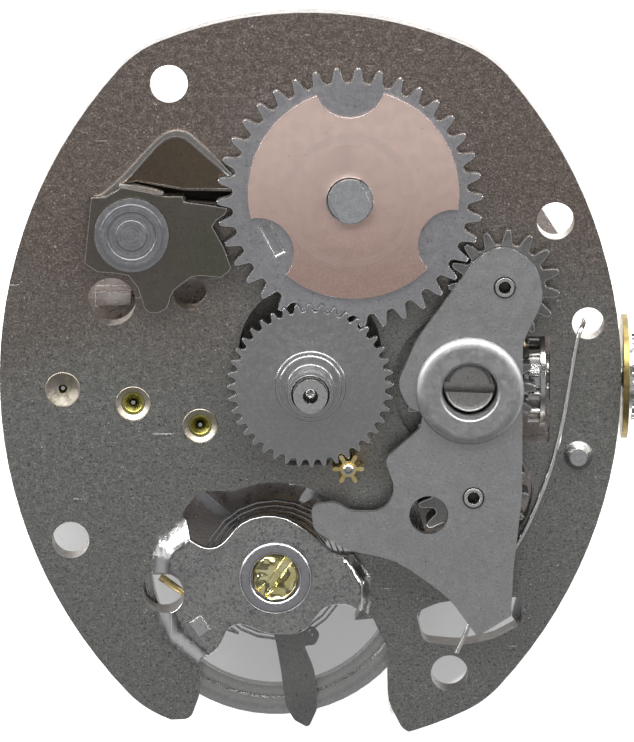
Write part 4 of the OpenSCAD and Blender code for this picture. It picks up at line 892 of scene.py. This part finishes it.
def minus(piece, cutter):
    """Cuts one piece out of another and throws the cutter away."""
    applied(piece, "BOOLEAN", operation="DIFFERENCE", solver="EXACT", object=cutter)
    bpy.data.objects.remove(cutter)


def eased_edges(piece, width, angle=34):
    """Eases the edges that turn by more than an angle, in degrees."""
    applied(piece, "BEVEL", width=width, segments=2, limit_method="ANGLE",
            angle_limit=math.radians(angle), use_clamp_overlap=True, harden_normals=False)


def bar_collar():
    """The collar that holds the rocking bar, with its outer edge well rounded."""
    piece = turned("bar_collar_turned", ROCKING, COLLAR_PROFILE)
    finished(piece, "collar", body_of("bar_collar"), LATHE_SMOOTH)
    standing_for("bar_collar")


def slot_cutter(place, floor, width, turn):
    """A block that saws a screw's slot down to its floor."""
    deselect_all()
    bpy.ops.mesh.primitive_cube_add(size=1, location=(*place, floor + 0.5))
    cutter = bpy.context.object
    cutter.scale = (SLOT_LENGTH, width, 1)
    cutter.rotation_euler = (0, 0, turn)
    bpy.ops.object.transform_apply(location=False, rotation=True, scale=True)
    return cutter


def bar_screw():
    """The screw under the collar, its slot's edges broadly eased."""
    piece = turned("bar_screw_head", ROCKING, BAR_SCREW_PROFILE, closed=False)
    minus(piece, slot_cutter(ROCKING, BAR_SLOT_FLOOR, BAR_SLOT_WIDTH, BAR_SLOT_TURN))
    eased_edges(piece, BAR_SCREW_EASE, 50)
    finished(piece, "bar_screw", body_of("bar_screw"), LATHE_SMOOTH)
    standing_for("bar_screw")


def bearing_ring():
    """The ring that carries the balance's upper bearing, its edges rounded."""
    piece = turned("bearing_ring_turned", STAFF, RING_PROFILE)
    finished(piece, "ring", body_of("bearing_ring"), LATHE_SMOOTH)
    standing_for("bearing_ring")


def return_spring():
    """The round wire that pushes the rocking bar back, hooked into its hole."""
    curve = bpy.data.curves.new("return_spring", "CURVE")
    curve.dimensions = "3D"
    curve.bevel_depth = WIRE_RADIUS
    curve.bevel_resolution = 4
    curve.use_fill_caps = True
    curve.resolution_u = 4
    line = curve.splines.new("NURBS")
    line.points.add(len(WIRE_PATH) - 1)
    for point, place in zip(line.points, WIRE_PATH):
        point.co = (*place, 1)
    line.order_u = 3
    line.use_endpoint_u = True
    piece = bpy.data.objects.new("return_spring", curve)
    bpy.context.scene.collection.objects.link(piece)
    active(piece)
    bpy.ops.object.convert(target="MESH")
    piece = bpy.context.object
    finished(piece, "wire", body_of("bar_spring"), 60)
    standing_for("bar_spring")


def gold_screw():
    """The gilt screw on the bearing ring, soft metal chewed up about its slot."""
    piece = turned("gold_screw", STAFF, GOLD_SCREW_PROFILE, closed=False)
    minus(piece, slot_cutter(STAFF, GOLD_SLOT_FLOOR, GOLD_SLOT_WIDTH, GOLD_SLOT_TURN))
    applied(piece, "REMESH", mode="VOXEL", voxel_size=GOLD_VOXEL)
    clouds = bpy.data.textures.new("chewed", "CLOUDS")
    clouds.noise_scale = CHEWED_SIZE
    clouds.noise_depth = 1
    applied(piece, "DISPLACE", texture=clouds, strength=CHEWED_DEPTH, mid_level=0.6, texture_coords="GLOBAL")
    applied(piece, "SMOOTH", iterations=6)
    finished(piece, "gold", body_of("balance_screw_dial"), 80)
    standing_for("balance_screw_dial")


def bush_cups():
    """The pale sloping rings that line the sinks of the three train bushes; the first is a wider dish."""
    for name, (place, profile) in BUSHES.items():
        piece = turned(name, place, profile, sides=48)
        finished(piece, "cup", "frame", LATHE_SMOOTH)


def bar_posts():
    """The two hollow posts of the rocking bar, riveted over its face, dark inside."""
    # Painted shade: the CAD posts seen inside the hollow posts are near-black
    coat("bar_posts", "shaded_steel")
    for name, place in POSTS.items():
        piece = turned(name, place, POST_PROFILE, sides=40)
        finished(piece, "small_steel", body_of("bar_posts"), LATHE_SMOOTH)


def pivot_ends():
    """Rounded pivot ends seen in the middle of the cannon pinion and of the minute pinion."""
    tip_radius, tip_rise = PIVOT_TIP
    for name, node, place, radius in PIVOT_ENDS:
        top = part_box(node)[1].z / MM
        dome = [(radius * share, top + rise) for share, rise in PIVOT_DOME]
        piece = turned(name, place, [*dome, (tip_radius, top + tip_rise)], closed=False, sides=32)
        finished(piece, "lever_stud", body_of(node), 50)


def click_lip():
    """The bent-up lip of the click beside the spring, its bright beige a painted highlight of the lit upper
    edge.
    """
    lip = cut_sheet("click_lip", CLICK_LIP, CLICK_LOW, CLICK_HIGH + LIP_RISE)
    eased_edges(lip, CLICK_EASE, 20)
    finished(lip, "lip", body_of("click"))


def click():
    """The click: flat body, nose at the ratchet wheel and tail between the two holes."""
    piece = cut_sheet("click_body", CLICK_OUTLINE, CLICK_LOW, CLICK_HIGH)
    eased_edges(piece, CLICK_EASE, 20)
    finished(piece, "click", body_of("click"))
    standing_for("click")


def click_spring():
    """The click's spring: a bent strip about a dark polished field."""
    strip = cut_sheet("click_spring_strip", SPRING_STRIP, 0, SPRING_HIGH)
    eased_edges(strip, SPRING_EASE, 25)
    finished(strip, "spring_strip", body_of("click_spring"))
    standing_for("click_spring")
    field = cut_sheet("click_spring_field", SPRING_FIELD, 0, SPRING_FIELD_HIGH)
    eased_edges(field, SPRING_FIELD_EASE, 25)
    finished(field, "click_spring", body_of("click_spring"))


def coat(node, finish):
    """Gives a CAD node its material and leaves its shape alone."""
    source = frame["nodes"][node]
    source.data.materials.clear()
    source.data.materials.append(FINISHES[finish])


def dress_nodes():
    """Eases and coats the CAD nodes whose shape stays."""
    for node, (finish, width) in NODE_FINISH.items():
        if width:
            eased(node, finish, width)
        else:
            coat(node, finish)


def model_pieces():
    """The pieces that are modelled here, most of them in place of a CAD node."""
    bush_cups()
    pivot_ends()
    bar_posts()
    bar_collar()
    bar_screw()
    return_spring()
    click_lip()
    click()
    click_spring()
    bearing_ring()
    gold_screw()


def floor_finish():
    """White floor, in soft shade under the lower openings of the movement."""
    finish = Finish("floor_white")
    low = finish.ramp(finish.along("Y"), -2.6, -3.6)
    beside_notch = finish.math("ABSOLUTE", finish.plus(finish.along("X"), -NOTCH_MIDDLE))
    off_notch = finish.ramp(beside_notch, NOTCH_HALF_WIDTH, NOTCH_HALF_WIDTH + 0.25)
    under_plate = finish.times(finish.ramp(finish.oval(FLOOR_PARALLAX), 1.03, 0.97), low)
    from_staff = finish.distance((STAFF[0], STAFF[1] - FLOOR_PARALLAX))
    under_balance = finish.ramp(from_staff, BALANCE_RADIUS, BALANCE_RADIUS - 0.25)
    shade = finish.math("MAXIMUM", finish.times(under_plate, off_notch), under_balance)
    glow = finish.blend(shade, FLOOR_GLOW, FLOOR_GLOW_SHADED)
    finish.links.new(glow, finish.shader.inputs["Emission Strength"])
    finish.links.new(finish.mix(shade, FLOOR_WHITE, FLOOR_SHADE), finish.shader.inputs["Base Color"])
    finish.shader.inputs["Emission Color"].default_value = (1, 1, 1, 1)
    finish.shader.inputs["Roughness"].default_value = 0.9
    return finish.material


def soft_room():
    """Room light: a bright band at the horizon that fades to a dim ceiling."""
    world = bpy.data.worlds.new("studio")
    world.use_nodes = True
    nodes, links = world.node_tree.nodes, world.node_tree.links
    background = nodes["Background"]
    background.inputs["Color"].default_value = ROOM_COLOUR
    direction = nodes.new("ShaderNodeSeparateXYZ")
    links.new(nodes.new("ShaderNodeTexCoord").outputs["Generated"], direction.inputs["Vector"])
    fade = nodes.new("ShaderNodeMapRange")
    links.new(direction.outputs["Z"], fade.inputs["Value"])
    fade.inputs["From Min"].default_value = HORIZON_HEIGHT
    fade.inputs["From Max"].default_value = CEILING_HEIGHT
    fade.inputs["To Min"].default_value = HORIZON_LIGHT
    fade.inputs["To Max"].default_value = CEILING_LIGHT
    links.new(fade.outputs["Result"], background.inputs["Strength"])
    return world


def lamp(name, place, size, power):
    """A soft rectangular lamp aimed at the hand axis; place and size in millimetres."""
    data = bpy.data.lights.new(name, "AREA")
    data.shape = "RECTANGLE"
    data.size, data.size_y = (s * MM for s in size)
    data.energy = power
    holder = bpy.data.objects.new(name, data)
    bpy.context.scene.collection.objects.link(holder)
    holder.location = Vector(place) * MM
    holder.rotation_mode = "QUATERNION"
    holder.rotation_quaternion = (-holder.location).to_track_quat("-Z", "Y")


def studio():
    """The pale floor under the movement, the room and its lamps."""
    bpy.context.scene.view_settings.view_transform = "Standard"
    bpy.context.scene.world = soft_room()

    bpy.ops.mesh.primitive_plane_add(size=FLOOR_SIDE, location=(0, 0, cad_box[0].z))
    floor = bpy.context.object
    floor.name = "floor"
    floor.data.materials.append(floor_finish())

    for name, place, size, power in LAMPS:
        lamp(name, place, size, power)


def camera():
    """The camera, tilted towards 6 o'clock as in the photograph."""
    data = bpy.data.cameras.new("camera")
    data.lens = LENS
    data.sensor_width = SENSOR_WIDTH
    data.clip_start = CLIP_NEAR
    data.clip_end = CLIP_FAR
    holder = bpy.data.objects.new("camera", data)
    bpy.context.scene.collection.objects.link(holder)
    back = Vector((0, math.sin(TILT), math.cos(TILT)))
    holder.location = AIM + back * CAMERA_AWAY
    holder.rotation_euler = (-TILT, 0, 0)
    bpy.context.scene.camera = holder


camera()
studio()
dress_nodes()
model_pieces()
